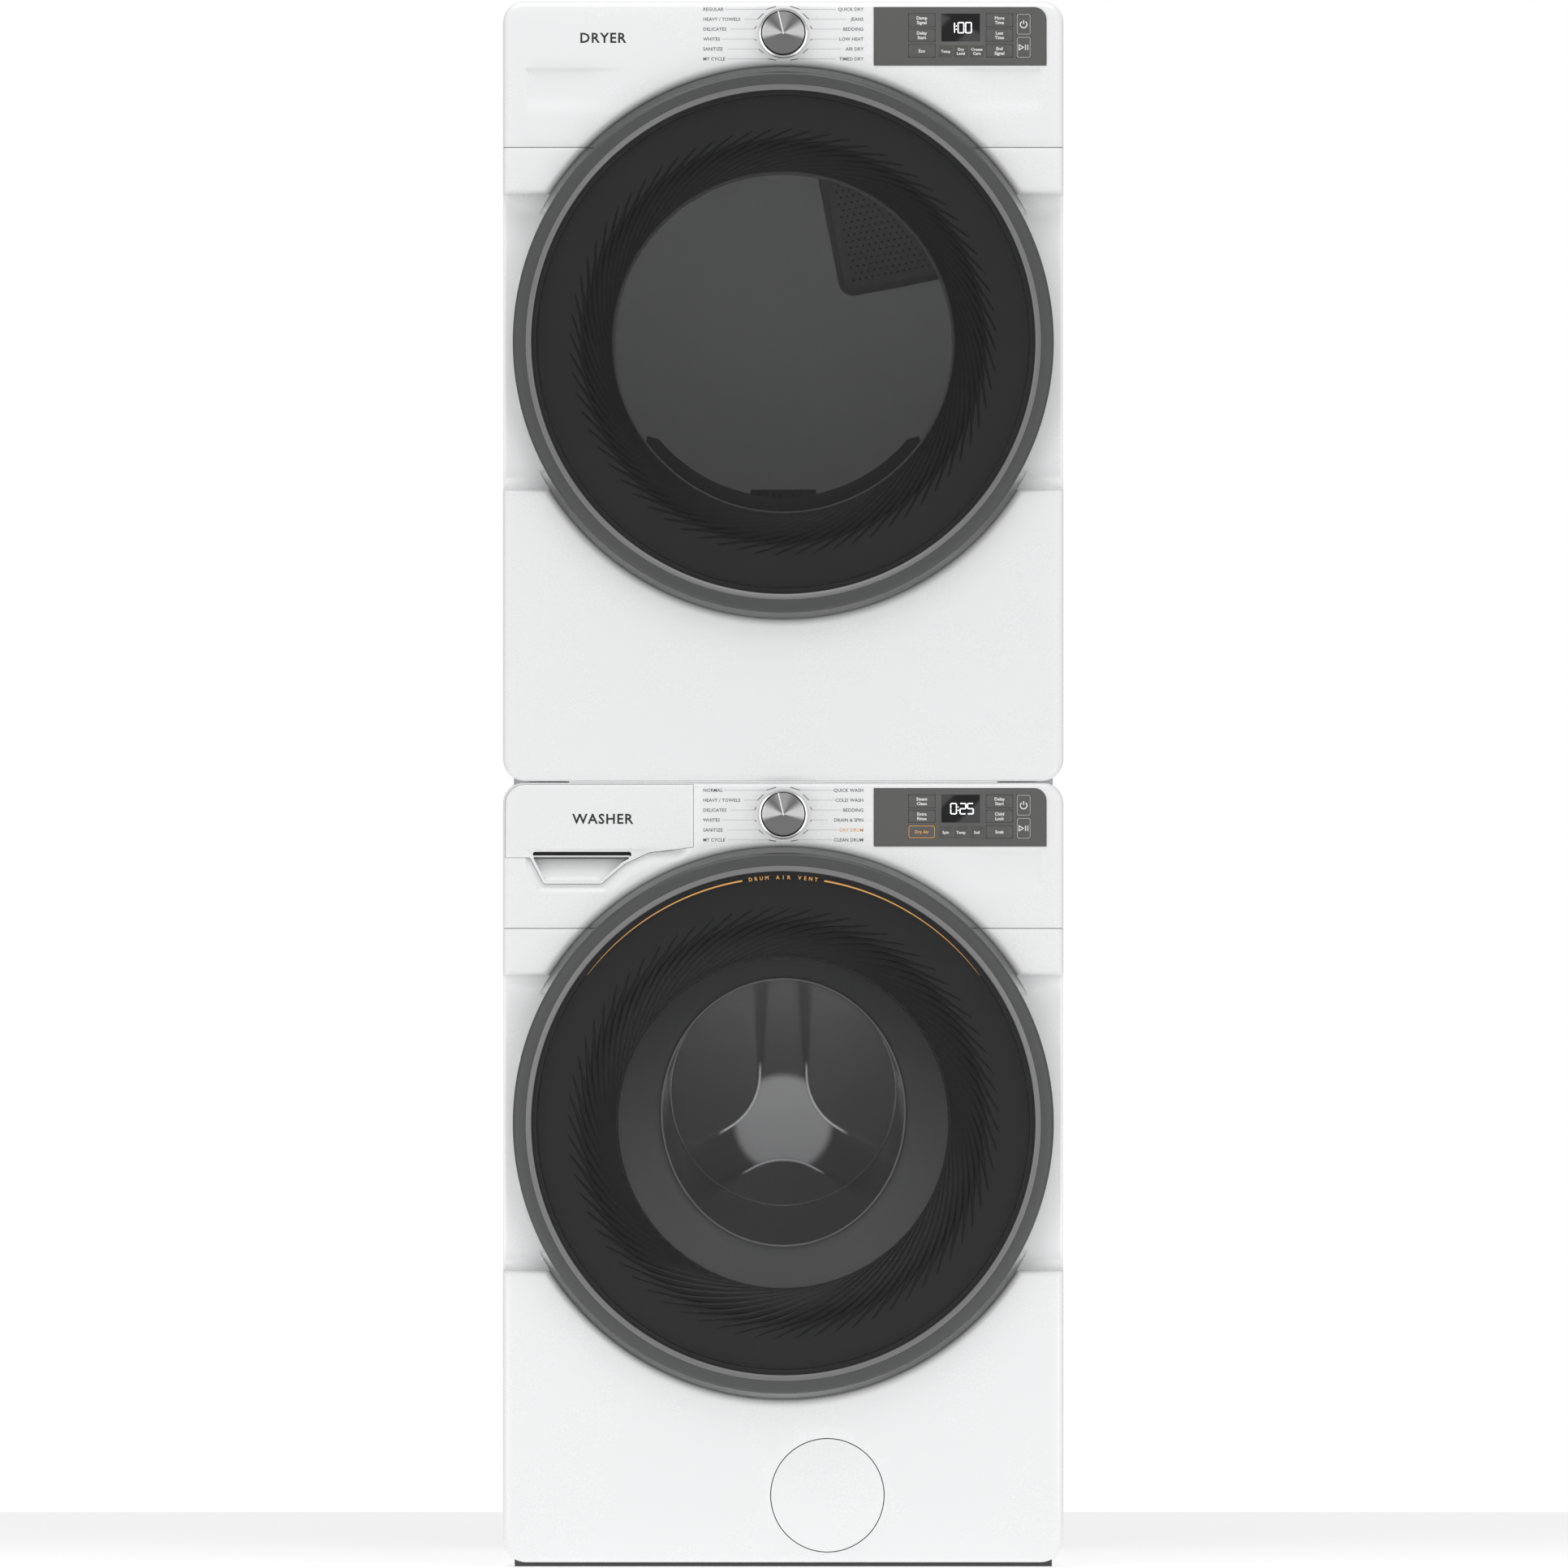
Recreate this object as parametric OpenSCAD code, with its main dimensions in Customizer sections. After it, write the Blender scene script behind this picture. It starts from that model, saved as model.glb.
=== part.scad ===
// A front-loading washer with a matching tumble dryer bolted on top of it.
// X runs left to right as seen from the front, the fronts face -Y and Z is up.
// The origin is on the floor, under the middle of the stack. Units are millimetres.

/* [Machines] */
// Width of both machines
body_w = 686; // [680:2:690]
// Height of one machine's front shell
unit_h = 955; // [950:1:960]
// Front face to rear panel
body_d = 747; // [740:1:770]
// Corner radius at the top of each front shell
corner_top = 26; // [22:1:28]
// Corner radius at the bottom of each front shell
corner_foot = 28; // [24:1:30]
// Wall thickness of the moulded front shells
wall = 2.4; // [2:0.2:2.6]
// Sheet thickness of the cabinets
sheet = 2; // [1.6:0.2:2.4]

/* [Doors] */
// Outer radius of a door's ring
door_r = 331; // [329:1:332]
// Radius of a door's tinted cover
cover_r = 307.6; // [307:0.2:308]
// Height of the door's centre above the bottom of its front shell
door_h = 538; // [536:1:540]
// How far a door's ring stands out of the front face
door_proud = 22; // [20:1:22]
// Radius of the washer's door opening
washer_mouth_r = 190; // [189:1:192]
// Radius of the dryer's door opening
dryer_mouth_r = 211.5; // [211.5:0.5:213]
// Distance of the hinge pins from the middle of the door
hinge_x = 316; // [315:1:316]
// Radius of the hinge pins
pin_r = 4; // [3.5:0.5:4]

/* [Controls] */
// Radius of a dial's grip
dial_r = 27.5; // [26:0.5:28]
// Height of the dials and the keys' panel above a door's centre
dial_rise = 378; // [376:1:380]
// Gap around a key
key_gap = 0.3; // [0.2:0.05:0.4]

/* [Washer] */
// Outer radius of the tub
tub_r = 290; // [286:1:292]
// Outer radius of the washing drum
drum_r = 272; // [270:1:274]
// Radius of the drum's belt pulley
pulley_r = 150; // [145:1:155]
// Depth of the detergent tray
tray_d = 266; // [240:2:268]
// Radius of the pump cover
pump_cover_r = 69; // [67:1:70]

/* [Dryer] */
// Outer radius of the tumbling drum
tumble_r = 318; // [317:1:320]
// Outer radius of the exhaust collar, a 4 inch duct
duct_r = 50.8; // [50.8:0.1:51]
// Radius of the blower wheel
wheel_r = 80; // [80:1:86]

/* [Hidden] */
$fn = 96;
front = -375;
back = front + body_d;
half_w = body_w / 2;
washer_z = 6;
dryer_z = washer_z + unit_h + 1;
shell_d = 38;
pocket_d = 34;
pocket_r = door_r + 6.5;
waist_h = 181;
seam_rise = 238.2;
seam_gap = 0.5;
skirt = 10;
cabinet_y0 = front + shell_d + 0.4;
cabinet_y1 = back - sheet;
ring_back = 25;
running = 0.05;
drum_drop = 8;
drum_z = washer_z + door_h - drum_drop;
tumble_z = dryer_z + door_h;
washer_motor = [-70, 130];
dryer_motor = [-90, dryer_z + 100];
duct_x = 40;
pump = [54, 88.3];
foot_x = 290;
foot_y = [-290, 300];
machines = [washer_z, dryer_z];
// Keys, as [left, right, top, bottom], measured right of the middle and down from the machine's top
option_keys = [
    for (column = [[153, 186.1], [248.1, 281.2]]) for (row = [[14.8, 31.4], [33.7, 49.3], [52.6, 68.6]])
        [column[0], column[1], row[0], row[1]]
];
power_key = [285.5, 303, 15, 41];
start_key = [285.5, 303, 43.2, 69.3];
all_keys = concat(option_keys, [power_key, start_key]);
panel = [111.2, 321.8, 7.5, 78];

// --- Geometry helpers -------------------------------------------------------------

// Points along an arc about (x, z), from angle a0 to a1
function arc(x, z, r, a0, a1, n = 8) =
    [for (i = [0:n]) [x + r * cos(a0 + (a1 - a0) * i / n), z + r * sin(a0 + (a1 - a0) * i / n)]];

// Front-view outline of the machine that stands at z0, drawn in by inset
function outline(z0, inset) = let (
    x = half_w - inset, top = corner_top - inset, foot = corner_foot - inset,
    low = z0 + inset, high = z0 + unit_h - inset
) concat(
    arc(x - top, high - top, top, 0, 90), arc(-x + top, high - top, top, 90, 180),
    arc(-x + foot, low + foot, foot, 180, 270), arc(x - foot, low + foot, foot, 270, 360)
);

// Loop of a belt's side around a large wheel and a small one
function belt_loop(a, ra, b, rb) = let (
    way = atan2(b[1] - a[1], b[0] - a[0]), lean = acos((ra - rb) / norm(b - a))
) concat(
    arc(a[0], a[1], ra, way + lean, way + 360 - lean, 48), arc(b[0], b[1], rb, way - lean, way + lean, 16)
);

// A box given by its limits along X, Y and Z
module box(x, y, z) {
    translate([x[0], y[0], z[0]]) cube([x[1] - x[0], y[1] - y[0], z[1] - z[0]]);
}

// Front-view outline carried from y0 back to y1
module along_y(y0, y1) {
    translate([0, y1, 0]) rotate([90, 0, 0]) linear_extrude(y1 - y0) children();
}

module slab(z0, inset, y0, y1) {
    along_y(y0, y1) polygon(outline(z0, inset));
}

// Cylinder about a fore-and-aft axis through (x, z)
module disc(x, z, r, y0, y1) {
    translate([x, y1, z]) rotate([90, 0, 0]) cylinder(r = r, h = y1 - y0);
}

// Turned shape about a fore-and-aft axis, its profile given as [radius, y]
module turned(x, z, profile) {
    translate([x, 0, z]) rotate([-90, 0, 0]) rotate_extrude() polygon(profile);
}

// Profile points stated behind the front face
function behind(points) = [for (p = points) [p[0], front + p[1]]];

// --- Cabinets and front shells ----------------------------------------------------

// Moulded front of one machine: face, door pocket, finger waist and door mouth
module front_shell(z0, mouth_r) {
    zc = z0 + door_h;
    seam = zc + seam_rise;
    wide = [-body_w, body_w];
    difference() {
        slab(z0, 0, front, front + shell_d);
        disc(0, zc, pocket_r, front - 1, front + pocket_d);
        box(wide, [front - 1, front + pocket_d], [zc - waist_h, zc + waist_h]);
        difference() {
            slab(z0, wall, front + wall, front + shell_d + 1);
            disc(0, zc, pocket_r + wall, front, front + shell_d + 2);
            box(wide, [front, front + shell_d + 2], [zc - waist_h - wall, zc + waist_h + wall]);
            box(wide, [front, front + shell_d + 2], [seam - wall, seam + wall]);
        }
        disc(0, zc, mouth_r, front, front + shell_d + 1);
        box([305, 321], [front, front + shell_d + 1], [zc - 15, zc + 15]);
    }
}

module lower_panel(z0, mouth_r) {
    seam = z0 + door_h + seam_rise;
    difference() {
        front_shell(z0, mouth_r);
        box([-body_w, body_w], [front - 2, front + shell_d + 2], [seam - seam_gap / 2, z0 + unit_h + 1]);
    }
}

module washer_front_panel() {
    color("white") difference() {
        lower_panel(washer_z, washer_mouth_r);
        disc(pump[0], pump[1], pump_cover_r + 0.6, front - 1, front + wall + 1);
    }
}

module dryer_front_panel() {
    color("white") lower_panel(dryer_z, dryer_mouth_r);
}

module console(z0, mouth_r) {
    seam = z0 + door_h + seam_rise;
    top = z0 + unit_h;
    edge = 5;
    difference() {
        front_shell(z0, mouth_r);
        box([-body_w, body_w], [front - 2, front + shell_d + 2], [z0 - 1, seam + seam_gap / 2]);
        along_y(front - 1, front + wall / 2) polygon(panel_outline(z0, 0.3));
        box([panel[0] + edge, panel[1] - edge], [front, front + wall + 1],
            [top - panel[3] + edge, top - panel[2] - edge]);
        disc(0, z0 + door_h + dial_rise, pin_r + running, front - 1, front + wall + 1);
    }
}

// Outline of the detergent drawer's front, drawn in by g
function drawer_outline(g) = let (top = washer_z + unit_h, left = -half_w + wall) concat(
    [[-109.8 - g, top - wall - g]],
    arc(-half_w + corner_top, top - corner_top, corner_top - wall - g, 90, 180),
    [[left + g, top - 92.5 + g], [-310 + g, top - 92.5 + g], [-294.6 + g, top - 122.9 + g],
     [-292.1 + g, top - 124.5 + g], [-222.6 - g, top - 124.5 + g], [-193.8 - g, top - 100 + g],
     [-178.9 - g, top - 92.6 + g], [-164 - g, top - 86.1 + g], [-144.1 - g, top - 82.2 + g],
     [-109.8 - g, top - 79.7 + g]]
);

module washer_console() {
    color("white") difference() {
        console(washer_z, washer_mouth_r);
        along_y(front - 1, front + wall + 1) polygon(drawer_outline(0));
    }
}

module dryer_console() {
    color("white") console(dryer_z, dryer_mouth_r);
}

// Steel wrap behind a front shell, open at the back, with a floor plate on foot studs
module cabinet(z0, stud_r) {
    floor_z = z0 + skirt;
    y1 = cabinet_y1;
    color("whitesmoke") {
        difference() {
            slab(z0, 0, cabinet_y0, y1);
            slab(z0, sheet, cabinet_y0 - 1, y1 - sheet);
            box([-300, 300], [y1 - sheet - 1, y1 + 1], [z0 + 60, z0 + 880]);
            box([-body_w, body_w], [cabinet_y0 - 1, y1 + 1], [z0 - 1, floor_z]);
        }
        difference() {
            intersection() {
                slab(z0, 0, cabinet_y0, y1);
                box([-body_w, body_w], [cabinet_y0, y1], [floor_z, floor_z + sheet]);
            }
            for (x = [-foot_x, foot_x]) for (y = foot_y)
                translate([x, y, floor_z - 1]) cylinder(r = stud_r, h = sheet + 2);
        }
    }
}

module washer_cabinet() {
    cabinet(washer_z, 6.3);
}

module dryer_cabinet() {
    color("whitesmoke") difference() {
        cabinet(dryer_z, 5.3);
        disc(duct_x, dryer_motor[1], duct_r + 1.5, cabinet_y1 - 5, cabinet_y1 + 1);
    }
}

valve_x = [-250, -205];
valve_z = washer_z + 850;

module washer_back_panel() {
    color("whitesmoke") difference() {
        union() {
            box([-318, 318], [cabinet_y1, back], [washer_z + 45, washer_z + 895]);
            disc(0, drum_z, pulley_r + 36, cabinet_y1, back + 9);
        }
        disc(0, drum_z, pulley_r + 34, cabinet_y1 - 1, back + 7);
        for (x = valve_x) disc(x, valve_z, 15, cabinet_y1 - 1, back + 1);
    }
}

module dryer_back_panel() {
    color("whitesmoke") difference() {
        union() {
            box([-318, 318], [cabinet_y1, back], [dryer_z + 45, dryer_z + 895]);
            box([-280, -180], [back, back + 16], [dryer_z + 70, dryer_z + 170]);
        }
        box([-278, -182], [cabinet_y1 - 1, back + 14], [dryer_z + 72, dryer_z + 168]);
        disc(duct_x, dryer_motor[1], duct_r + 1.5, cabinet_y1 - 1, back + 1);
        for (i = [0:7])
            box([-250, -130], [cabinet_y1 - 1, back + 1], [dryer_z + 700 + 14 * i, dryer_z + 706 + 14 * i]);
    }
}

module leveling_feet() {
    color("dimgray") for (x = [-foot_x, foot_x]) for (y = foot_y) translate([x, y, 0]) {
        cylinder(r = 24, h = 5);
        translate([0, 0, 5]) cylinder(r = 6, h = 35);
        translate([0, 0, washer_z + skirt - 7]) cylinder(r = 11, h = 7, $fn = 6);
    }
}

// Rear tie plates and the pads that the upper machine rests on
module stacking_brackets() {
    top = washer_z + unit_h;
    color("silver") {
        for (side = [-1, 1]) translate([side * 322, 0, 0])
            box([-16, 16], [cabinet_y1, cabinet_y1 + 2.5], [top - 40, top + 44]);
        for (x = [-foot_x, foot_x]) for (y = foot_y) {
            translate([x, y, top]) cylinder(r = 22, h = dryer_z + skirt - top);
            translate([x, y, dryer_z + skirt]) cylinder(r = 5, h = 14);
        }
    }
}

// --- Controls ---------------------------------------------------------------------

function panel_outline(z0, g) = let (top = z0 + unit_h, r = 15 + g) concat(
    [[panel[0] - g, top - panel[3] - g], [panel[1] + g, top - panel[3] - g]],
    arc(panel[1] + g - r, top - panel[2] + g - r, r, 0, 90),
    [[panel[0] - g, top - panel[2] + g]]
);

module control_panels() {
    color("dimgray") for (z0 = machines) difference() {
        along_y(front - 1, front + wall / 2) polygon(panel_outline(z0, 0));
        for (k = all_keys)
            box([k[0], k[1]], [front - 2, front + wall], [z0 + unit_h - k[3], z0 + unit_h - k[2]]);
        box([193.4, 240.7], [front - 2, front - 0.6], [z0 + unit_h - 49.2, z0 + unit_h - 15]);
    }
}

// Push key with a flange behind the panel that keeps it in
module key(z0, k) {
    top = z0 + unit_h;
    flange = 0.7;
    color("gray") {
        box([k[0] + key_gap, k[1] - key_gap], [front - 1.2, front + 1.8],
            [top - k[3] + key_gap, top - k[2] - key_gap]);
        box([k[0] - flange, k[1] + flange], [front + 1.8, front + 3], [top - k[3] - flange, top - k[2] + flange]);
    }
}

module dial(z0) {
    z = z0 + door_h + dial_rise;
    color("silver") difference() {
        turned(0, z, behind([
            [0, -17.6], [dial_r - 3, -18.8], [dial_r - 1, -18], [dial_r, -5], [dial_r + 3, -4],
            [dial_r + 3.3, -1], [dial_r + 2, -0.6], [pin_r, -0.6], [pin_r, 3.2], [6.5, 3.2], [6.5, 5], [0, 5]
        ]));
        translate([0, 0, z]) rotate([0, -13, 0]) box([-0.8, 0.8], [front - 20, front - 17.4], [8, dial_r - 2]);
    }
}

module washer_dial() {
    dial(washer_z);
}

module dryer_dial() {
    dial(dryer_z);
}

// --- Doors ------------------------------------------------------------------------

knuckle_rise = 61;

// Upper or lower knuckle pair of a door, about its hinge pin
module knuckles(zc) {
    for (side = [-1, 1]) translate([-hinge_x, front, zc + side * knuckle_rise])
        for (low = [-15, 3.5]) translate([0, 0, low]) {
            cylinder(r = 7.5, h = 11.5);
            translate([-4.5, -9, 0]) cube([15, 18, 11.5]);
        }
}

module door_frame(z0) {
    zc = z0 + door_h;
    r = door_r;
    color("dimgray") difference() {
        union() {
            turned(0, zc, behind([
                [r, ring_back], [r, -17], [r - 2.5, -20.4], [r - 15, -door_proud], [r - 15.8, -20.2],
                [308.4, -18.6], [308.4, -12], [302, -12], [302, 14], [306, 14], [306, -8],
                [312, -8], [312, -16.5], [r - 4, -14.5], [r - 4, ring_back]
            ]));
            intersection() {
                knuckles(zc);
                disc(0, zc, r - 0.5, front - 15, front + ring_back);
            }
            box([309, 315], [front - 17, front + 42], [zc - 10, zc + 10]);
        }
        for (side = [-1, 1]) translate([-hinge_x, front, zc + side * knuckle_rise]) {
            translate([0, 0, -16]) cylinder(r = pin_r + running, h = 32);
            translate([-30, -14, -4]) cube([39, 50, 8]);
        }
    }
}

// Domed tinted cover that fills a door's ring
module door_cover(z0) {
    edge_y = -15.6;
    rise = 4.6;
    thick = 3.4;
    n = 8;
    color([0.15, 0.15, 0.15]) turned(0, z0 + door_h, behind(concat(
        [for (i = [0:n]) [cover_r * i / n, edge_y - rise * (1 - pow(i / n, 2))]],
        [for (i = [n:-1:0]) [cover_r * i / n, edge_y + thick - rise * (1 - pow(i / n, 2))]]
    )));
}

// Inner skin of a door: a flat ring, a cone down to the window and a flat back
module door_liner(z0, cone_r, hole_r) {
    color([0.2, 0.2, 0.2]) turned(0, z0 + door_h, behind([
        [301.4, -6], [cone_r, -6], [hole_r, 9], [hole_r, 17], [301.4, 17], [301.4, 14.6],
        [hole_r + 6, 14.6], [hole_r + 6, 10], [cone_r + 1, -3.6], [301.4, -3.6]
    ]));
}

module washer_door_frame() {
    door_frame(washer_z);
}

module dryer_door_frame() {
    door_frame(dryer_z);
}

module washer_door_cover() {
    door_cover(washer_z);
}

module dryer_door_cover() {
    door_cover(dryer_z);
}

washer_window_r = 203;
dryer_window_r = 209;

module washer_door_liner() {
    door_liner(washer_z, 255, washer_window_r);
}

module dryer_door_liner() {
    door_liner(dryer_z, 252, dryer_window_r);
}

module dryer_door_window() {
    r = dryer_window_r - 0.3;
    color([0.6, 0.6, 0.65, 0.4]) turned(0, dryer_z + door_h, behind([
        [0, 19], [r - 22, 17], [r - 12, 11], [r, 11], [r, 14.4], [r - 11, 14.4], [r - 21, 20.4], [0, 22.4]
    ]));
}

// Glass bowl: a flange, then a tapering wall that leans upward to a domed end.
// Each ring is [depth behind the front face, rise of its centre, radius].
module washer_door_bowl() {
    zc = washer_z + door_h;
    flange_r = washer_window_r - 0.4;
    skin = [
        [10, 0, flange_r], [14, 0, flange_r], [15, 15, 168], [40, 20, 159], [75, 29, 149], [104, 36, 140],
        [110, 37, 132], [112, 37, 60], [107, 37, 60], [105, 37, 128], [99, 35, 135], [70, 27, 144],
        [36, 18, 154], [10, 14, 164]
    ];
    n = 48;
    m = len(skin);
    rings = [for (s = skin) for (i = [0:n - 1])
        [s[2] * cos(360 * i / n), front + s[0], zc + s[1] + s[2] * sin(360 * i / n)]];
    wall_faces = [for (k = [0:m - 1]) if (k != 7) for (i = [0:n - 1])
        let (a = k * n + i, b = k * n + (i + 1) % n, c = ((k + 1) % m) * n + (i + 1) % n,
             d = ((k + 1) % m) * n + i) each [[a, c, b], [a, d, c]]];
    outer_cap = [for (i = [0:n - 1]) [m * n, 7 * n + (i + 1) % n, 7 * n + i]];
    inner_cap = [for (i = [0:n - 1]) [m * n + 1, 8 * n + i, 8 * n + (i + 1) % n]];
    color([0.7, 0.75, 0.75, 0.4]) polyhedron(
        points = concat(rings, [[0, front + 113, zc + 37], [0, front + 108, zc + 37]]),
        faces = concat(wall_faces, outer_cap, inner_cap)
    );
}

// Fixed brackets in the door pockets, each with two arms that carry a pin
module door_hinges() {
    color("silver") for (z0 = machines) translate([-hinge_x, front, z0 + door_h]) {
        box([-6, 26], [31.5, pocket_d], [-82, 82]);
        for (side = [-1, 1]) translate([0, 0, side * knuckle_rise]) {
            box([-4, 4], [0, 31.5], [-3, 3]);
            translate([0, 0, -3]) cylinder(r = 6, h = 6);
            translate([0, 0, -15]) cylinder(r = pin_r, h = 30);
        }
    }
}

// --- Washer internals -------------------------------------------------------------

module door_gasket() {
    color("darkgray") turned(0, washer_z + door_h, behind([
        [184, 38], [206, 38], [206, 43], [193, 44], [193, 56], [204, 65], [204, 75], [195.6, 82],
        [195.6, 101], [187, 101], [187, 83], [197, 74], [197, 67], [188, 58], [188, 42], [184, 42]
    ]));
}

module outer_tub() {
    r = tub_r;
    color("gainsboro") {
        turned(0, drum_z, [
            [15 + running, 204], [r - 6, 204], [r - 6, -277], [204, -277], [204, -283], [r, -283],
            [r, 210], [60, 210], [46, 232], [15 + running, 232]
        ]);
        for (side = [-1, 1]) {
            box([side * 215 - 9, side * 215 + 9], [-60, -20], [drum_z + 200, drum_z + 215]);
            for (y = [-180, 120]) box([side * 130 - 10, side * 130 + 10], [y - 12, y + 12], [drum_z - 275, drum_z - 262]);
        }
    }
}

module wash_drum() {
    r = drum_r;
    color("silver") {
        turned(0, drum_z, [
            [0, 188], [r - 2, 188], [r - 2, -257.5], [206, -257.5], [206, -260], [r, -260],
            [r, 192], [15, 192], [15, 262], [0, 262]
        ]);
        along_y(183, 188) polygon([for (a = [0:15:345]) let (
            lobe = pow(max(0, cos(3 * (a - 90))), 2), s = 74 + 150 * lobe
        ) [s * cos(a), drum_z + s * sin(a)]]);
    }
}

// Three paddles inside the drum
module drum_lifters() {
    seat = drum_r - 4.6;
    color("gainsboro") for (a = [30, 150, 270])
        translate([0, 0, drum_z]) rotate([0, -a, 0]) translate([0, 175, 0]) rotate([90, 0, 0])
            linear_extrude(425) polygon([
                [seat, -34], [seat, 34], [seat - 40, 16], [seat - 54, 8], [seat - 54, -8], [seat - 40, -16]
            ]);
}

module drum_pulley() {
    r = pulley_r;
    hub_r = 15 + running;
    color("silver") difference() {
        turned(0, drum_z, [
            [hub_r, 240], [34, 240], [34, 251], [r - 12, 251], [r - 12, 245], [r, 245], [r, 262],
            [r - 12, 262], [r - 12, 255], [34, 255], [34, 266], [hub_r, 266]
        ]);
        for (a = [0:60:300])
            disc(88 * cos(a), drum_z + 88 * sin(a), 32, 249, 257);
    }
}

module motor_pulley() {
    color("silver") turned(washer_motor[0], washer_motor[1], [[0, 92], [7, 92], [7, 245], [14, 245], [14, 262], [0, 262]]);
}

module counterweights() {
    color("gray") for (side = [-1, 1]) intersection() {
        difference() {
            disc(0, drum_z, tub_r - 8, -326, -283);
            disc(0, drum_z, 222, -327, -282);
        }
        box([-190, 190], [-330, -280], side > 0 ? [drum_z + 90, drum_z + 300] : [drum_z - 300, drum_z - 90]);
    }
}

// Two hanger springs from the cabinet's top and four dampers from its floor
module tub_suspension() {
    ceiling = washer_z + unit_h - sheet;
    floor_z = washer_z + skirt + sheet;
    color("slategray") for (side = [-1, 1]) {
        translate([side * 215, -40, drum_z + 215]) {
            cylinder(r = 3, h = ceiling - drum_z - 215);
            translate([0, 0, 30]) cylinder(r = 13, h = 140);
        }
        for (y = [-180, 120]) {
            rise = drum_z - 275 - floor_z - 7;
            run = 90;
            translate([side * (130 + run), y, floor_z + 7]) rotate([0, -side * atan2(run, rise), 0]) {
                cylinder(r = 7, h = norm([rise, run]) - 4);
                cylinder(r = 13, h = 120);
            }
        }
    }
}

// The washer's motor hangs below its tub and the dryer's sits beside its blower
module drive_motors() {
    color("dimgray") {
        turned(washer_motor[0], washer_motor[1], [
            [7 + running, 96], [40, 96], [40, 104], [60, 104], [60, 216], [40, 216], [40, 226], [7 + running, 226]
        ]);
        difference() {
            for (x = [-42, 50])
                box([washer_motor[0] + x - 8, washer_motor[0] + x + 8], [110, 210], [washer_motor[1] + 20, drum_z - 255]);
            disc(0, drum_z, tub_r + 0.3, 100, 220);
        }
        turned(dryer_motor[0], dryer_motor[1], [
            [6 + running, -168], [38, -168], [38, -158], [64, -158], [64, -24], [38, -24], [38, -14], [6 + running, -14]
        ]);
        for (y = [-140, -60]) difference() {
            box([dryer_motor[0] - 50, dryer_motor[0] + 50], [y, y + 16],
                [dryer_z + skirt + sheet, dryer_motor[1] - 30]);
            disc(dryer_motor[0], dryer_motor[1], 50, y - 1, y + 17);
        }
    }
}

module belt(a, ra, b, rb, y0, y1) {
    gap = 0.4;
    thick = 2.4;
    difference() {
        along_y(y0, y1) polygon(belt_loop(a, ra + gap + thick, b, rb + gap + thick));
        along_y(y0 - 1, y1 + 1) polygon(belt_loop(a, ra + gap, b, rb + gap));
    }
}

module drive_belts() {
    color([0.12, 0.12, 0.12]) {
        belt([0, drum_z], pulley_r, washer_motor, 14, 248, 259);
        belt([0, tumble_z], tumble_r, dryer_motor, 12, 8, 20);
    }
}

module drain_pump() {
    floor_z = washer_z + skirt + sheet;
    color("gainsboro") {
        disc(pump[0], pump[1], 44, cabinet_y0 + 12, cabinet_y0 + 18);
        disc(pump[0], pump[1], 34, cabinet_y0 + 2, cabinet_y0 + 90);
        disc(pump[0], pump[1], 27, cabinet_y0 + 90, cabinet_y0 + 150);
        box([pump[0] - 45, pump[0] + 45], [cabinet_y0 + 24, cabinet_y0 + 90], [floor_z, pump[1] - 20]);
        box([pump[0] - 3, pump[0] + 3], [cabinet_y0 - 8, cabinet_y0 + 3], [pump[1] - 24, pump[1] + 24]);
    }
}

// Hot and cold inlets, with 3/4 inch hose threads behind the rear panel
module inlet_valves() {
    color("gainsboro") {
        box([valve_x[0] - 22, valve_x[1] + 22], [cabinet_y1 - 52, cabinet_y1], [valve_z - 20, valve_z + 20]);
        for (x = valve_x) difference() {
            disc(x, valve_z, 13.2, cabinet_y1, back + 22);
            disc(x, valve_z, 9, back - 10, back + 23);
        }
    }
}

module drawer_housing() {
    top = washer_z + unit_h;
    y1 = front + tray_d + 24;
    color("gainsboro") {
        difference() {
            box([-307, -115], [cabinet_y0 + 3, y1], [top - 79, top - 9]);
            box([-304, -118], [cabinet_y0, y1 - 3], [top - 76, top - 12]);
        }
        for (x = [-290, -140]) box([x, x + 8], [cabinet_y0 + 20, y1 - 20], [top - 9, top - sheet]);
    }
}

// Drawer: its front with a finger scoop under the grip, and a tray of three wells
module detergent_drawer() {
    top = washer_z + unit_h;
    y1 = front + tray_d;
    color("white") {
        difference() {
            union() {
                along_y(front, front + 4) polygon(drawer_outline(0.5));
                along_y(front, front + 26) polygon([
                    [-309, top - 78], [-309, top - 91], [-293.6, top - 122], [-223, top - 122],
                    [-195, top - 98], [-183, top - 92], [-183, top - 78]
                ]);
            }
            intersection() {
                translate([-320, 0, 0]) rotate([90, 0, 90]) linear_extrude(150) polygon([
                    [front - 1, top - 121.5], [front + 22, top - 91], [front + 22, top - 83.9],
                    [front - 1, top - 83.9]
                ]);
                along_y(front - 2, front + 30) polygon([
                    [-306, top - 83], [-306, top - 92], [-291.5, top - 121.6], [-224.6, top - 121.6],
                    [-197, top - 98], [-186, top - 92.5], [-186, top - 83]
                ]);
            }
        }
        difference() {
            box([-300, -122], [front + 3, y1], [top - 72, top - 18]);
            for (well = [[-298, -238], [-235, -182], [-179, -124]])
                box(well, [front + 6, y1 - 2], [top - 70, top - 17]);
        }
    }
}

module pump_cover() {
    r = pump_cover_r;
    color("white") turned(pump[0], pump[1], behind([
        [0, 0], [r - 0.8, 0], [r, 0.8], [r, wall], [r - 8, wall], [r - 8, 9], [r - 10, 9], [r - 10, wall], [0, wall]
    ]));
}

// --- Dryer internals --------------------------------------------------------------

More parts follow.
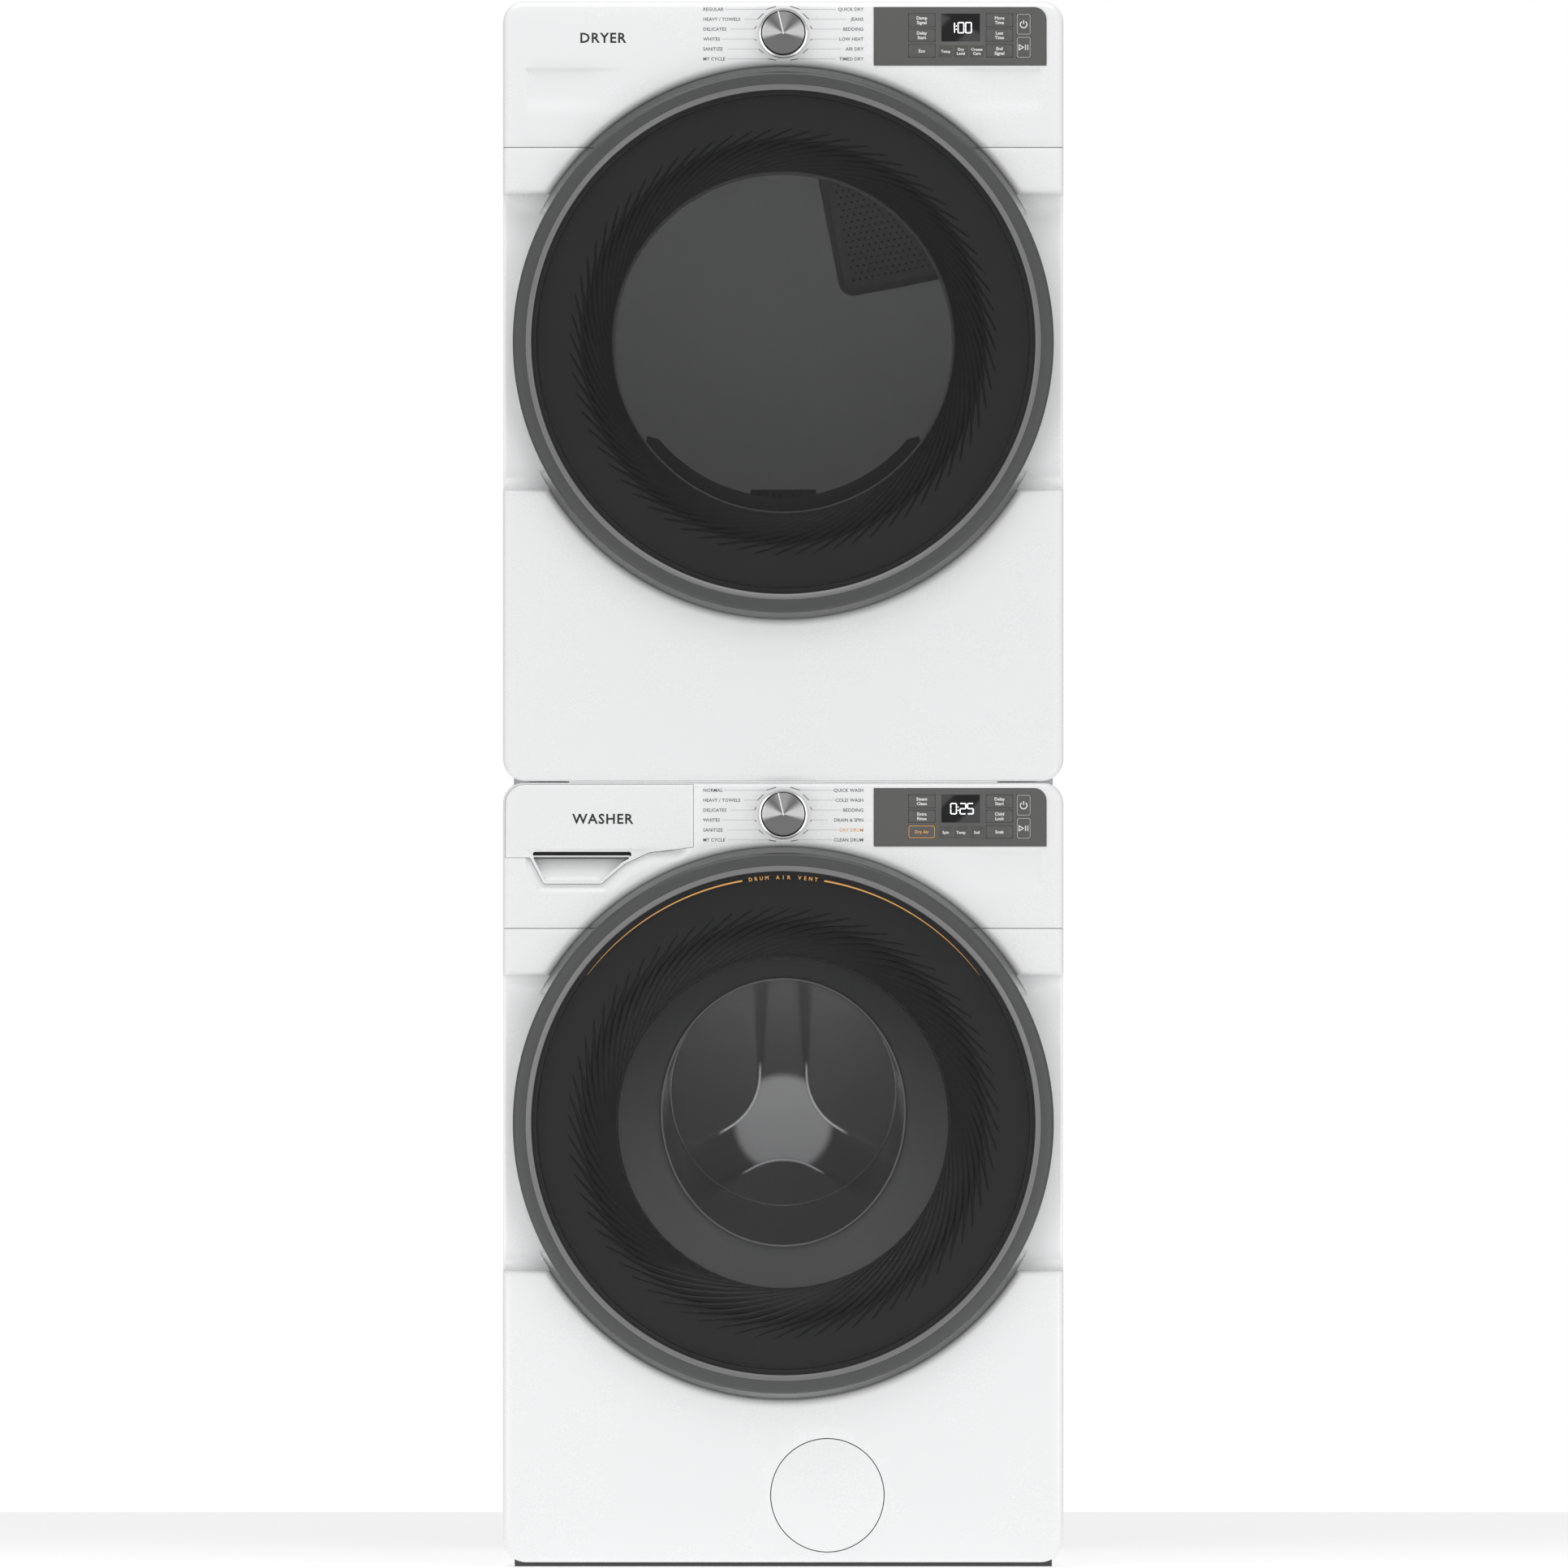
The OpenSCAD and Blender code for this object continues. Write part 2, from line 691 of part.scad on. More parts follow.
// Front bulkhead: mouth collar, drum seat and the well that holds the lint screen
module front_bulkhead() {
    y0 = front + 48;
    y1 = front + 92;
    color("lightgray") difference() {
        union() {
            turned(0, tumble_z, behind([
                [207, 36], [211, 36], [211, 92], [330, 92], [330, 95], [312, 95], [312, 120], [308, 120],
                [308, 95], [207, 95]
            ]));
            difference() {
                disc(0, tumble_z, 209, y0, y1);
                disc(0, tumble_z + 34.7, 227.7, y0 - 1, y1 + 1);
            }
            box([-116, 116], [y0, y1], [dryer_z + 150, tumble_z - 200]);
        }
        box([-104, 104], [y0 + 6, y0 + 20], [dryer_z + 149, tumble_z - 150]);
        box([-113, 113], [y0 + 3, y1 - 3], [dryer_z + 149, tumble_z - 212]);
    }
}

module rear_bulkhead() {
    color("lightgray") {
        turned(0, tumble_z, [[0, 300], [308, 300], [308, 272], [312, 272], [312, 300], [330, 300], [330, 303], [0, 303]]);
        intersection() {
            translate([74.5, 0, tumble_z + 58]) rotate([0, -11, 0]) box([0, 205], [296, 300], [0, 190]);
            disc(0, tumble_z, 300, 295, 301);
        }
        difference() {
            box([40, 260], [303, 362], [tumble_z + 40, tumble_z + 250]);
            box([43, 257], [302, 359], [tumble_z + 43, tumble_z + 247]);
        }
    }
}

// Air path from the lint well through the blower's housing to the rear collar
module exhaust_duct() {
    mx = dryer_motor[0];
    mz = dryer_motor[1];
    y0 = -250;
    y1 = -180;
    t = 2.5;
    color("silver") difference() {
        union() {
            disc(mx, mz, wheel_r + 6, y0, y1);
            box([mx, duct_x + 54], [y0, y1], [mz - 54, mz + 54]);
            disc(duct_x, mz, duct_r - 0.6, y1 - 1, back + 3);
            disc(duct_x, mz, duct_r, back + 2, back + 25);
            box([mx - 62, duct_x + 60], [front + 48, y0], [mz - 62, dryer_z + 149]);
        }
        disc(mx, mz, wheel_r + 6 - t, y0 + t, y1 - t);
        box([mx, duct_x + 54 - t], [y0 + t, y1 - t], [mz - 54 + t, mz + 54 - t]);
        disc(duct_x, mz, duct_r - 1.6, y1 - 10, back + 26);
        disc(mx, mz, 55, y0 - 10, y0 + 10);
        disc(mx, mz, 12, y1 - 10, y1 + 1);
        box([mx - 62 + t, duct_x + 60 - t], [front + 48 + t, y0 - t], [mz - 62 + t, dryer_z + 150]);
    }
}

module dryer_drum() {
    r = tumble_r;
    y0 = front + 98;
    color("silver") turned(0, tumble_z, [
        [r - 2, y0], [r, y0], [r, -60], [r + 3, -54], [r + 3, -46], [r, -40], [r, 60], [r + 3, 66],
        [r + 3, 74], [r, 80], [r, 297], [r - 2, 297]
    ]);
}

module dryer_vanes() {
    seat = tumble_r - 4;
    color("gainsboro") for (a = [90, 210, 330])
        translate([0, 0, tumble_z]) rotate([0, -a, 0]) translate([0, 250, 0]) rotate([90, 0, 0])
            linear_extrude(490) polygon([
                [seat, -28], [seat, 28], [seat - 44, 14], [seat - 60, 7], [seat - 60, -7], [seat - 44, -14]
            ]);
}

// Blower wheel with the motor's shaft and the drum belt's pulley
module blower_wheel() {
    x = dryer_motor[0];
    z = dryer_motor[1];
    color("gray") {
        turned(x, z, [[0, -196], [wheel_r, -196], [wheel_r, -190], [6, -190], [6, 8], [12, 8], [12, 20], [0, 20]]);
        for (a = [0:20:340]) translate([x, 0, z]) rotate([0, a, 0])
            box([wheel_r - 24, wheel_r - 2], [-240, -195], [-1.2, 1.2]);
    }
}

module lint_screen() {
    color("gray") {
        difference() {
            box([-100, 100], [front + 58, front + 64], [tumble_z - 335, tumble_z - 186]);
            for (x = [-92, -30, 32])
                box([x, x + 58], [front + 57, front + 65], [tumble_z - 325, tumble_z - 215]);
        }
        box([-40, 40], [front + 56, front + 66], [tumble_z - 190, tumble_z - 180]);
    }
}

// --- Nodes ------------------------------------------------------------------------

washer_cabinet();
washer_back_panel();
washer_front_panel();
washer_console();
dryer_cabinet();
dryer_back_panel();
dryer_front_panel();
dryer_console();
control_panels();
drawer_housing();
door_hinges();
door_gasket();
outer_tub();
counterweights();
tub_suspension();
drive_motors();
drive_belts();
drain_pump();
inlet_valves();
leveling_feet();
stacking_brackets();
front_bulkhead();
rear_bulkhead();
exhaust_duct();
washer_door_frame();
washer_door_cover();
washer_door_liner();
washer_door_bowl();
dryer_door_frame();
dryer_door_cover();
dryer_door_liner();
dryer_door_window();
wash_drum();
drum_lifters();
drum_pulley();
motor_pulley();
dryer_drum();
dryer_vanes();
blower_wheel();
washer_dial();
dryer_dial();
detergent_drawer();
pump_cover();
lint_screen();
key(washer_z, option_keys[0]);  // washer_key_1
key(washer_z, option_keys[1]);  // washer_key_2
key(washer_z, option_keys[2]);  // washer_key_3
key(washer_z, option_keys[3]);  // washer_key_4
key(washer_z, option_keys[4]);  // washer_key_5
key(washer_z, option_keys[5]);  // washer_key_6
key(washer_z, power_key);  // washer_power_key
key(washer_z, start_key);  // washer_start_key
key(dryer_z, option_keys[0]);  // dryer_key_1
key(dryer_z, option_keys[1]);  // dryer_key_2
key(dryer_z, option_keys[2]);  // dryer_key_3
key(dryer_z, option_keys[3]);  // dryer_key_4
key(dryer_z, option_keys[4]);  // dryer_key_5
key(dryer_z, option_keys[5]);  // dryer_key_6
key(dryer_z, power_key);  // dryer_power_key
key(dryer_z, start_key);  // dryer_start_key
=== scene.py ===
"""Looks of a washer with a tumble dryer stacked on it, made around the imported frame.

Lengths are millimetres on the frame's own axes: X to the right, Y away from the viewer, Z up.
They become metres when a mesh is finished. Fronts face -Y.
"""
import logging
import math
from collections.abc import Callable, Iterable, Sequence
from dataclasses import dataclass, field, replace
from enum import Enum

import bmesh
import bpy
from mathutils import Matrix, Vector
from mathutils.geometry import delaunay_2d_cdt


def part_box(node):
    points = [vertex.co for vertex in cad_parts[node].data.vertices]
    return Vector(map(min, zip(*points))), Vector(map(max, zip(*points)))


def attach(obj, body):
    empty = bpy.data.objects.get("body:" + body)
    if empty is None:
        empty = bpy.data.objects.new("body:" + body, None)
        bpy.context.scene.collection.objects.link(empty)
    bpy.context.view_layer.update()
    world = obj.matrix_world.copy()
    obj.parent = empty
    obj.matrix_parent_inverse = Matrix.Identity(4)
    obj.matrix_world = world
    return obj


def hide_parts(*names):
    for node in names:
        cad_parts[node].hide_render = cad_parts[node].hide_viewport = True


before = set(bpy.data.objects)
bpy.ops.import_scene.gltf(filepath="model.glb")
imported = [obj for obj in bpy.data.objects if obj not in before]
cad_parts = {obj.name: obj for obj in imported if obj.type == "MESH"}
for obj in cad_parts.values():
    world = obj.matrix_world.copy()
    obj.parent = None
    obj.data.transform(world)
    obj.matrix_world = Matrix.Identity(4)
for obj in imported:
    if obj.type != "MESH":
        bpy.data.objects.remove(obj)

log = logging.getLogger("stack")
MM = 0.001
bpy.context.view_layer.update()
PUMP_GAP = 1.0
Point = tuple[float, float]
Tone = tuple[float, float, float]


# --- Nodes written as expressions ---


class Signal:
    """A node socket that takes part in sums."""

    def __init__(self, graph: "Graph", socket: bpy.types.NodeSocket) -> None:
        """Holds a socket and the graph that it belongs to."""
        self.graph = graph
        self.socket = socket

    def __add__(self, other: "Value") -> "Signal":
        """This plus another."""
        return self.graph.math("ADD", self, other)

    def __sub__(self, other: "Value") -> "Signal":
        """This less another."""
        return self.graph.math("SUBTRACT", self, other)

    def __rsub__(self, other: "Value") -> "Signal":
        """Another less this."""
        return self.graph.math("SUBTRACT", other, self)

    def __mul__(self, other: "Value") -> "Signal":
        """This times another."""
        return self.graph.math("MULTIPLY", self, other)

    def __truediv__(self, other: "Value") -> "Signal":
        """This over another."""
        return self.graph.math("DIVIDE", self, other)

    def __pow__(self, other: "Value") -> "Signal":
        """This to a power."""
        return self.graph.math("POWER", self, other)

    __radd__ = __add__
    __rmul__ = __mul__

    def ramp(self, low: float, high: float) -> "Signal":
        """Smooth step from 0 at low to 1 at high."""
        return self.graph.node(
            "ShaderNodeMapRange", {"Value": self, "From Min": low, "From Max": high},
            interpolation_type="SMOOTHSTEP",
        )


Value = Signal | float | int | bool | Sequence[float]


class Graph:
    """A node tree whose nodes all come from one method."""

    def __init__(self, tree: bpy.types.NodeTree) -> None:
        """Holds the tree."""
        self.tree = tree

    def node(
        self,
        kind: str,
        inputs: dict[str | int, Value] | None = None,
        output: str | int = 0,
        **settings: object,
    ) -> Signal:
        """Adds a node.

        Args:
            kind: The node's type.
            inputs: Values or links of its sockets, by name or by place among those in use.
            output: The wanted output, by name or by place.
            settings: The node's properties, which are set first.

        Returns:
            The wanted output.
        """
        made = self.tree.nodes.new(kind)
        for key, value in settings.items():
            setattr(made, key, value)
        for key, value in (inputs or {}).items():
            socket = self.pick(made.inputs, key)
            if isinstance(value, Signal):
                self.tree.links.new(value.socket, socket)
            else:
                socket.default_value = value
        return Signal(self, self.pick(made.outputs, output))

    @staticmethod
    def pick(sockets: Iterable[bpy.types.NodeSocket], key: str | int) -> bpy.types.NodeSocket:
        """The socket in use that has this name or place."""
        used = [s for s in sockets if s.enabled]
        return used[key] if isinstance(key, int) else next(s for s in used if s.name == key)

    def math(self, operation: str, a: Value, b: Value = 0.0) -> Signal:
        """A sum of two numbers."""
        return self.node("ShaderNodeMath", {0: a, 1: b}, operation=operation)

    def function(self, operation: str, a: Value) -> Signal:
        """A function of one number."""
        return self.node("ShaderNodeMath", {0: a}, operation=operation)

    def vector(self, x: Value = 0.0, y: Value = 0.0, z: Value = 0.0) -> Signal:
        """A vector of three numbers."""
        return self.node("ShaderNodeCombineXYZ", {"X": x, "Y": y, "Z": z})

    def mix(self, factor: Value, a: Value, b: Value) -> Signal:
        """Colour a where factor is 0 and b where it is 1."""
        return self.node("ShaderNodeMix", {"Factor": factor, "A": a, "B": b}, data_type="RGBA")

    def noise(self, place: Value, scale: float, detail: float = 2.0) -> Signal:
        """Smooth noise from 0 to 1."""
        return self.node("ShaderNodeTexNoise", {"Vector": place, "Scale": scale, "Detail": detail})

    def end(self, kind: str, socket: str, result: Signal) -> None:
        """Leads a result to the tree's output node of this kind."""
        out = self.tree.nodes.new(kind)
        self.tree.links.new(result.socket, out.inputs[socket])


# --- Finishes ---


class Grain(Enum):
    """How a surface is broken up close to."""

    ENAMEL = "enamel"
    MOULDED = "moulded"
    TURNED = "turned"
    # SPUN_FACE also paints highlight wedges into a spun face's colour; STAR paints the star plate's sheen,
    # its bend highlights and its darker arms.
    SPUN_FACE = "spun face"
    STAR = "star"
    SPANGLE = "spangle"
    CAST = "cast"
    CLEAR = "clear"
    LIT = "lit"


@dataclass(frozen=True)
class Finish:
    """One material: its colour and gloss, and the grain that breaks it up."""

    name: str
    slot: str
    tone: Tone
    grain: Grain = Grain.MOULDED
    rough: float = 0.4
    metal: float = 0.0
    coat: float = 0.0
    relief: float = 0.12
    pitch: float = 0.8
    drift: float = 0.03
    specular: float = 0.5
    opacity: float = 1.0
    rim: float = 0.0
    glow: float = 0.0
    centre: Point = (0.0, 0.0)
    levels: Point = (0.0, 1.0)
    # painted_light_ramp paints a finish lighter or darker along one axis: painted light and shade.
    painted_light_ramp: tuple[str, float, float, float, float] | None = None

    def material(self) -> bpy.types.Material:
        """The material, built the first time that it is asked for."""
        found = bpy.data.materials.get(self.name)
        if found:
            return found
        made = bpy.data.materials.new(self.name)
        made.use_nodes = True
        made.node_tree.nodes.clear()
        graph = Graph(made.node_tree)
        place = graph.node("ShaderNodeTexCoord", output="Object")
        shade, height = self.surface(graph, place)
        colour = graph.mix(shade, self.scaled(1 - self.drift), self.scaled(1 + self.drift))
        # Painted highlights on spun faces.
        if self.grain is Grain.SPUN_FACE:
            colour = graph.mix(self.painted_highlight_wedges(graph, place), self.scaled(0.155), self.scaled(1.0))
        # Painted sheen, highlights and shade on the star plate.
        if self.grain is Grain.STAR:
            colour = self.pressed(graph, place, colour)
        # Painted light and shade: the colour ramps from foot to head along one axis.
        if self.painted_light_ramp:
            axis, low, high, foot, head = self.painted_light_ramp
            rise = graph.node("ShaderNodeSeparateXYZ", {0: place}, axis).ramp(low * MM, high * MM)
            base = graph.mix(rise, self.scaled(foot), self.scaled(head))
            colour = graph.mix(shade, graph.mix(2 * self.drift, base, (0.0, 0.0, 0.0, 1.0)), base)
        inputs: dict[str | int, Value] = {
            "Base Color": colour,
            "Roughness": shade * 0.08 + (self.rough - 0.04),
            "Metallic": self.metal,
            "Coat Weight": self.coat,
            "Coat Roughness": 0.06,
            "Specular IOR Level": self.specular,
            "Alpha": self.opacity,
        }
        if self.relief:
            reach = {"Strength": self.relief, "Distance": self.pitch * MM * 0.25, "Height": height}
            inputs["Normal"] = graph.node("ShaderNodeBump", reach)
        if self.rim:
            facing = graph.node("ShaderNodeLayerWeight", {"Blend": 0.35}, "Facing")
            inputs["Alpha"] = facing ** 2.5 * self.rim + self.opacity
        if self.glow:
            inputs["Emission Color"] = (*self.tone, 1.0)
            inputs["Emission Strength"] = self.glow
        shader = graph.node("ShaderNodeBsdfPrincipled", inputs)
        graph.end("ShaderNodeOutputMaterial", "Surface", shader)
        if self.opacity < 1:
            made.surface_render_method = "BLENDED"
        return made

    def scaled(self, share: float) -> tuple[float, ...]:
        """The tone made darker or lighter, as a colour."""
        return (*(min(1.0, c * share) for c in self.tone), 1.0)

    def polar(self, graph: Graph, place: Signal) -> tuple[Signal, Signal, Signal]:
        """Radius and angle about the finish's fore-and-aft axis, and the depth along it."""
        x, y, z = (graph.node("ShaderNodeSeparateXYZ", {0: place}, k) for k in range(3))
        x = x - self.centre[0] * MM
        z = z - self.centre[1] * MM
        radius = graph.function("SQRT", x * x + z * z)
        return radius, graph.math("ARCTAN2", x, z), y

    def painted_highlight_wedges(self, graph: Graph, place: Signal) -> Signal:
        """Painted highlights: bright wedges to the left and right of a spun face and a lighter top, with
        hairlines across them.
        """
        radius, angle, _ = self.polar(graph, place)
        turn = graph.function("ABSOLUTE", angle)
        sides = turn.ramp(0.75, 1.3) - turn.ramp(1.65, 1.95)
        crown = (1 - turn.ramp(0.1, 0.7)) * 0.3
        hairs = graph.noise(graph.vector(radius * 9000.0, angle * 3.0, 0.0), 1.0) * 0.22
        return sides * 0.78 + crown + hairs

    def pressed(self, graph: Graph, place: Signal, plain: Signal) -> Signal:
        """Colours of the pressed star, painted light and shade: its arms painted darker than the sunk
        sectors, a painted sheen on its middle and painted highlights on the bends beside that.

        Args:
            graph: The material's graph.
            place: Object coordinates.
            plain: The colour of the sunk sectors.

        Returns:
            The colour.
        """
        radius, _, depth = self.polar(graph, place)
        low, high = (y * MM for y in self.levels)
        raised = 1 - depth.ramp(low + (high - low) * 0.15, low + (high - low) * 0.45)
        bend_highlight = depth.ramp(low + (high - low) * 0.1, low + (high - low) * 0.4)
        bend_highlight = bend_highlight * (1 - depth.ramp(low + (high - low) * 0.6, low + (high - low) * 0.95))
        near = radius.ramp(0.036, 0.042) * (1 - radius.ramp(0.070, 0.084))
        # Painted shade on the arms, a painted sheen on the middle and painted highlights on the bends.
        arms = graph.mix(raised, plain, self.scaled(0.72))
        hub_sheen = graph.mix(raised * (1 - radius.ramp(0.053, 0.066)), arms, self.scaled(7.3))
        return graph.mix(bend_highlight * near, hub_sheen, self.scaled(16.5))

    def surface(self, graph: Graph, place: Signal) -> tuple[Signal, Signal]:
        """Where the colour shifts and how the surface stands, each from 0 to 1.

        Args:
            graph: The material's graph.
            place: Object coordinates.

        Returns:
            The shade and the height.
        """
        fine = 1.0 / (self.pitch * MM)
        broad = graph.noise(place, 9.0, 3.0)
        if self.grain in (Grain.TURNED, Grain.SPUN_FACE, Grain.STAR):
            radius, angle, depth = self.polar(graph, place)
            lines = graph.noise(graph.vector(radius * fine, depth * fine, angle * 2.0), 1.0)
            return lines * 0.6 + broad * 0.4, lines
        if self.grain is Grain.SPANGLE:
            cells = graph.node("ShaderNodeTexVoronoi", {"Vector": place, "Scale": fine}, "Color")
            flake = graph.node("ShaderNodeSeparateColor", {0: cells})
            return flake * 0.7 + broad * 0.3, flake
        if self.grain is Grain.CAST:
            lumps = graph.noise(place, fine, 6.0)
            return lumps * 0.7 + broad * 0.3, lumps
        if self.grain is Grain.ENAMEL:
            peel = graph.noise(place, fine * 0.3, 1.0)
            return broad, peel
        grains = graph.noise(place, fine, 2.0)
        return grains * 0.35 + broad * 0.65, grains


# Farther back, from y -368 to -345 mm, the white moulding is painted up to 16% lighter: painted light that
# lifts its recesses out of their shade.
WHITE = Finish("white_gloss_moulding", "white_plastic", (0.83, 0.835, 0.84), rough=0.27,
               relief=0.03, pitch=2.4, drift=0.006, coat=0.25, painted_light_ramp=("Y", -368.0, -345.0, 1.0, 1.16))
ENAMEL = Finish("white_baked_enamel", "white_enamel", (0.80, 0.805, 0.81), Grain.ENAMEL, rough=0.3,
                relief=0.06, pitch=0.9, drift=0.008, coat=0.2)
RING = Finish("satin_graphite_ring", "ring_grey", (0.068, 0.069, 0.070), rough=0.38, metal=0.15,
              relief=0.05, pitch=0.5, drift=0.05)
TRIM = Finish("satin_grey_chamfer", "ring_grey", (0.185, 0.185, 0.185), rough=0.34, metal=0.15,
              relief=0.04, pitch=0.5)
LINER = Finish("dark_liner_moulding", "liner_grey", (0.066, 0.066, 0.067), rough=0.5, drift=0.05,
               relief=0.06, pitch=0.7, specular=0.3)
# The flutes are painted far darker than the liner that they are moulded in: painted shade.
FLUTE = Finish("shade_darkened_flute_moulding", "liner_grey", (0.012, 0.012, 0.0125), rough=0.2, drift=0.06,
               relief=0.0, pitch=0.6, specular=0.6)
SMOKED = Finish("smoked_cover_glass", "smoked_cover", (0.022, 0.022, 0.023), rough=0.1, drift=0.2,
                relief=0.0, pitch=3.0, opacity=0.3, rim=0.2, specular=0.15)
GLASS = Finish("clear_bowl_glass", "clear_glass", (0.10, 0.10, 0.102), Grain.CLEAR, rough=0.1,
               relief=0.0, pitch=6.0, opacity=0.06, rim=0.8, specular=0.4)
# The flange is painted lighter towards its foot and darker towards its top: painted light and shade.
FLANGE = replace(GLASS, name="tinted_bowl_flange", tone=(0.15, 0.15, 0.151), rough=0.3, drift=0.05,
                 opacity=0.92, rim=0.0, specular=0.3, painted_light_ramp=("Z", 370.0, 720.0, 1.9, 0.66))
# The mouth and end edge beads are painted bright and near opaque: painted highlights on the glass; the end
# bead's highlight is painted brighter towards its top.
MOUTH_HIGHLIGHT = replace(GLASS, name="painted_highlight_mouth_edge", tone=(0.42, 0.42, 0.43), rough=0.14, metal=0.1,
                     opacity=0.95, rim=0.0, specular=0.5)
END_HIGHLIGHT = replace(MOUTH_HIGHLIGHT, name="painted_highlight_glass_edge", tone=(0.80, 0.80, 0.81), rough=0.12,
                     painted_light_ramp=("Z", 500.0, 600.0, 0.4, 1.25))
PANEL = Finish("satin_panel_film", "panel_grey", (0.092, 0.092, 0.0905), rough=0.46, relief=0.04,
               pitch=0.3)
KEYCAP = Finish("satin_key_caps", "key_grey", (0.089, 0.089, 0.0875), rough=0.42, relief=0.04,
                pitch=0.3)
PAD = Finish("dark_touch_pads", "key_grey", (0.072, 0.072, 0.066), rough=0.36, relief=0.03,
             pitch=0.3)
SCREEN = Finish("black_display_glass", "panel_grey", (0.004, 0.004, 0.005), rough=0.12, relief=0.01,
                pitch=3.0, drift=0.2)
DIGITS = Finish("lit_digits", "panel_grey", (0.95, 0.97, 1.0), Grain.LIT, rough=0.5, glow=1.2,
                drift=0.01)
SKIRT = Finish("bright_dial_skirt", "dial_metal", (0.78, 0.78, 0.79), rough=0.16, metal=0.9,
               relief=0.02, pitch=0.5, drift=0.04)
BAND = Finish("black_nickel_band", "dial_metal", (0.03, 0.03, 0.031), rough=0.2, metal=0.8,
              relief=0.02, pitch=0.5, drift=0.1)
ZINC = Finish("zinc_plated_steel", "zinc_plate", (0.52, 0.53, 0.54), rough=0.36, metal=0.9,
              relief=0.08, pitch=0.9, drift=0.1)
GALVANISED = Finish("galvanised_sheet", "galvanised", (0.50, 0.51, 0.52), Grain.SPANGLE, rough=0.44,
                    metal=0.75, relief=0.03, pitch=9.0, drift=0.12)
PAINTED_BULKHEAD = Finish("grey_bulkhead_enamel", "galvanised", (0.42, 0.42, 0.42), Grain.ENAMEL,
                          rough=0.5, relief=0.06, pitch=1.0, drift=0.02)
RUBBER = Finish("grey_door_rubber", "rubber_grey", (0.20, 0.20, 0.205), rough=0.62, relief=0.16,
                pitch=0.6, drift=0.08, specular=0.35)
BLACK_RUBBER = Finish("black_belt_rubber", "rubber_grey", (0.022, 0.022, 0.023), rough=0.7,
                      relief=0.2, pitch=0.6, drift=0.12, specular=0.3)
TUB = Finish("natural_tub_plastic", "tub_plastic", (0.60, 0.60, 0.58), rough=0.5, relief=0.1,
             pitch=1.2)
CONCRETE = Finish("cast_concrete", "concrete", (0.34, 0.335, 0.32), Grain.CAST, rough=0.86,
                  relief=0.6, pitch=3.0, drift=0.16)
MOTOR = Finish("black_motor_enamel", "motor_black", (0.035, 0.035, 0.037), Grain.CAST, rough=0.5,
               relief=0.25, pitch=1.2, drift=0.15)
LIP = Finish("dark_lint_well_moulding", "liner_grey", (0.05, 0.05, 0.051), rough=0.5, drift=0.05,
             specular=0.3)
INLET_FRAME = Finish("dark_inlet_frame", "galvanised", (0.085, 0.085, 0.087), rough=0.5, drift=0.05)
INLET_FIELD = Finish("dark_inlet_field", "galvanised", (0.12, 0.12, 0.122), rough=0.55, drift=0.05)


def ink(name: str, tone: Tone, slot: str = "key_grey", rough: float = 0.5, drift: float = 0.05) -> Finish:
    """A printing ink with a fine tooth."""
    return Finish(name, slot, tone, rough=rough, relief=0.05, pitch=0.2, drift=drift)


WHITE_INK = ink("white_print", (0.82, 0.82, 0.80), drift=0.04)
AMBER_INK = ink("amber_print", (0.72, 0.36, 0.10), rough=0.45)
FRAME_INK = ink("key_frame_print", (0.42, 0.42, 0.41))
FAINT_INK = ink("faint_key_outline", (0.088, 0.088, 0.086))
DARK_INK = ink("dark_grey_print", (0.095, 0.095, 0.10), "white_plastic", drift=0.08)
PALE_INK = ink("pale_grey_print", (0.40, 0.40, 0.41), "white_plastic")
BLACK_INK = ink("black_print", (0.012, 0.012, 0.013), "white_plastic", rough=0.35, drift=0.1)


def turned_steel(name: str, x: float, z: float, tone: float = 0.55) -> Finish:
    """Stainless steel with a grain that runs round a fore-and-aft axis through x, z."""
    return Finish(name, "stainless", (tone, tone, tone * 1.01), Grain.TURNED, rough=0.3, metal=0.9,
                  relief=0.04, pitch=0.5, drift=0.12, centre=(x, z))


# --- Plane geometry ---


def ramp(value: float, width: float) -> float:
    """Smooth step from 0 at value 0 to 1 at value width."""
    t = min(1.0, max(0.0, value / width))
    return t * t * (3 - 2 * t)


def rounded(distance: float, radius: float) -> float:
    """Depth of a quarter round of this radius, at a distance in from its edge."""
    t = min(max(distance, 0.0), radius)
    return radius - math.sqrt(max(0.0, radius**2 - (radius - t) ** 2))


def circle(x: float, z: float, radius: float, steps: int, first: float = 0,
           last: float = 360) -> list[Point]:
    """Points on an arc about x, z from one angle to another, in degrees; a full circle isn't closed."""
    span = last - first
    count = steps if abs(span) >= 360 else steps + 1
    angles = [math.radians(first + span * i / steps) for i in range(count)]
    return [(x + radius * math.cos(a), z + radius * math.sin(a)) for a in angles]


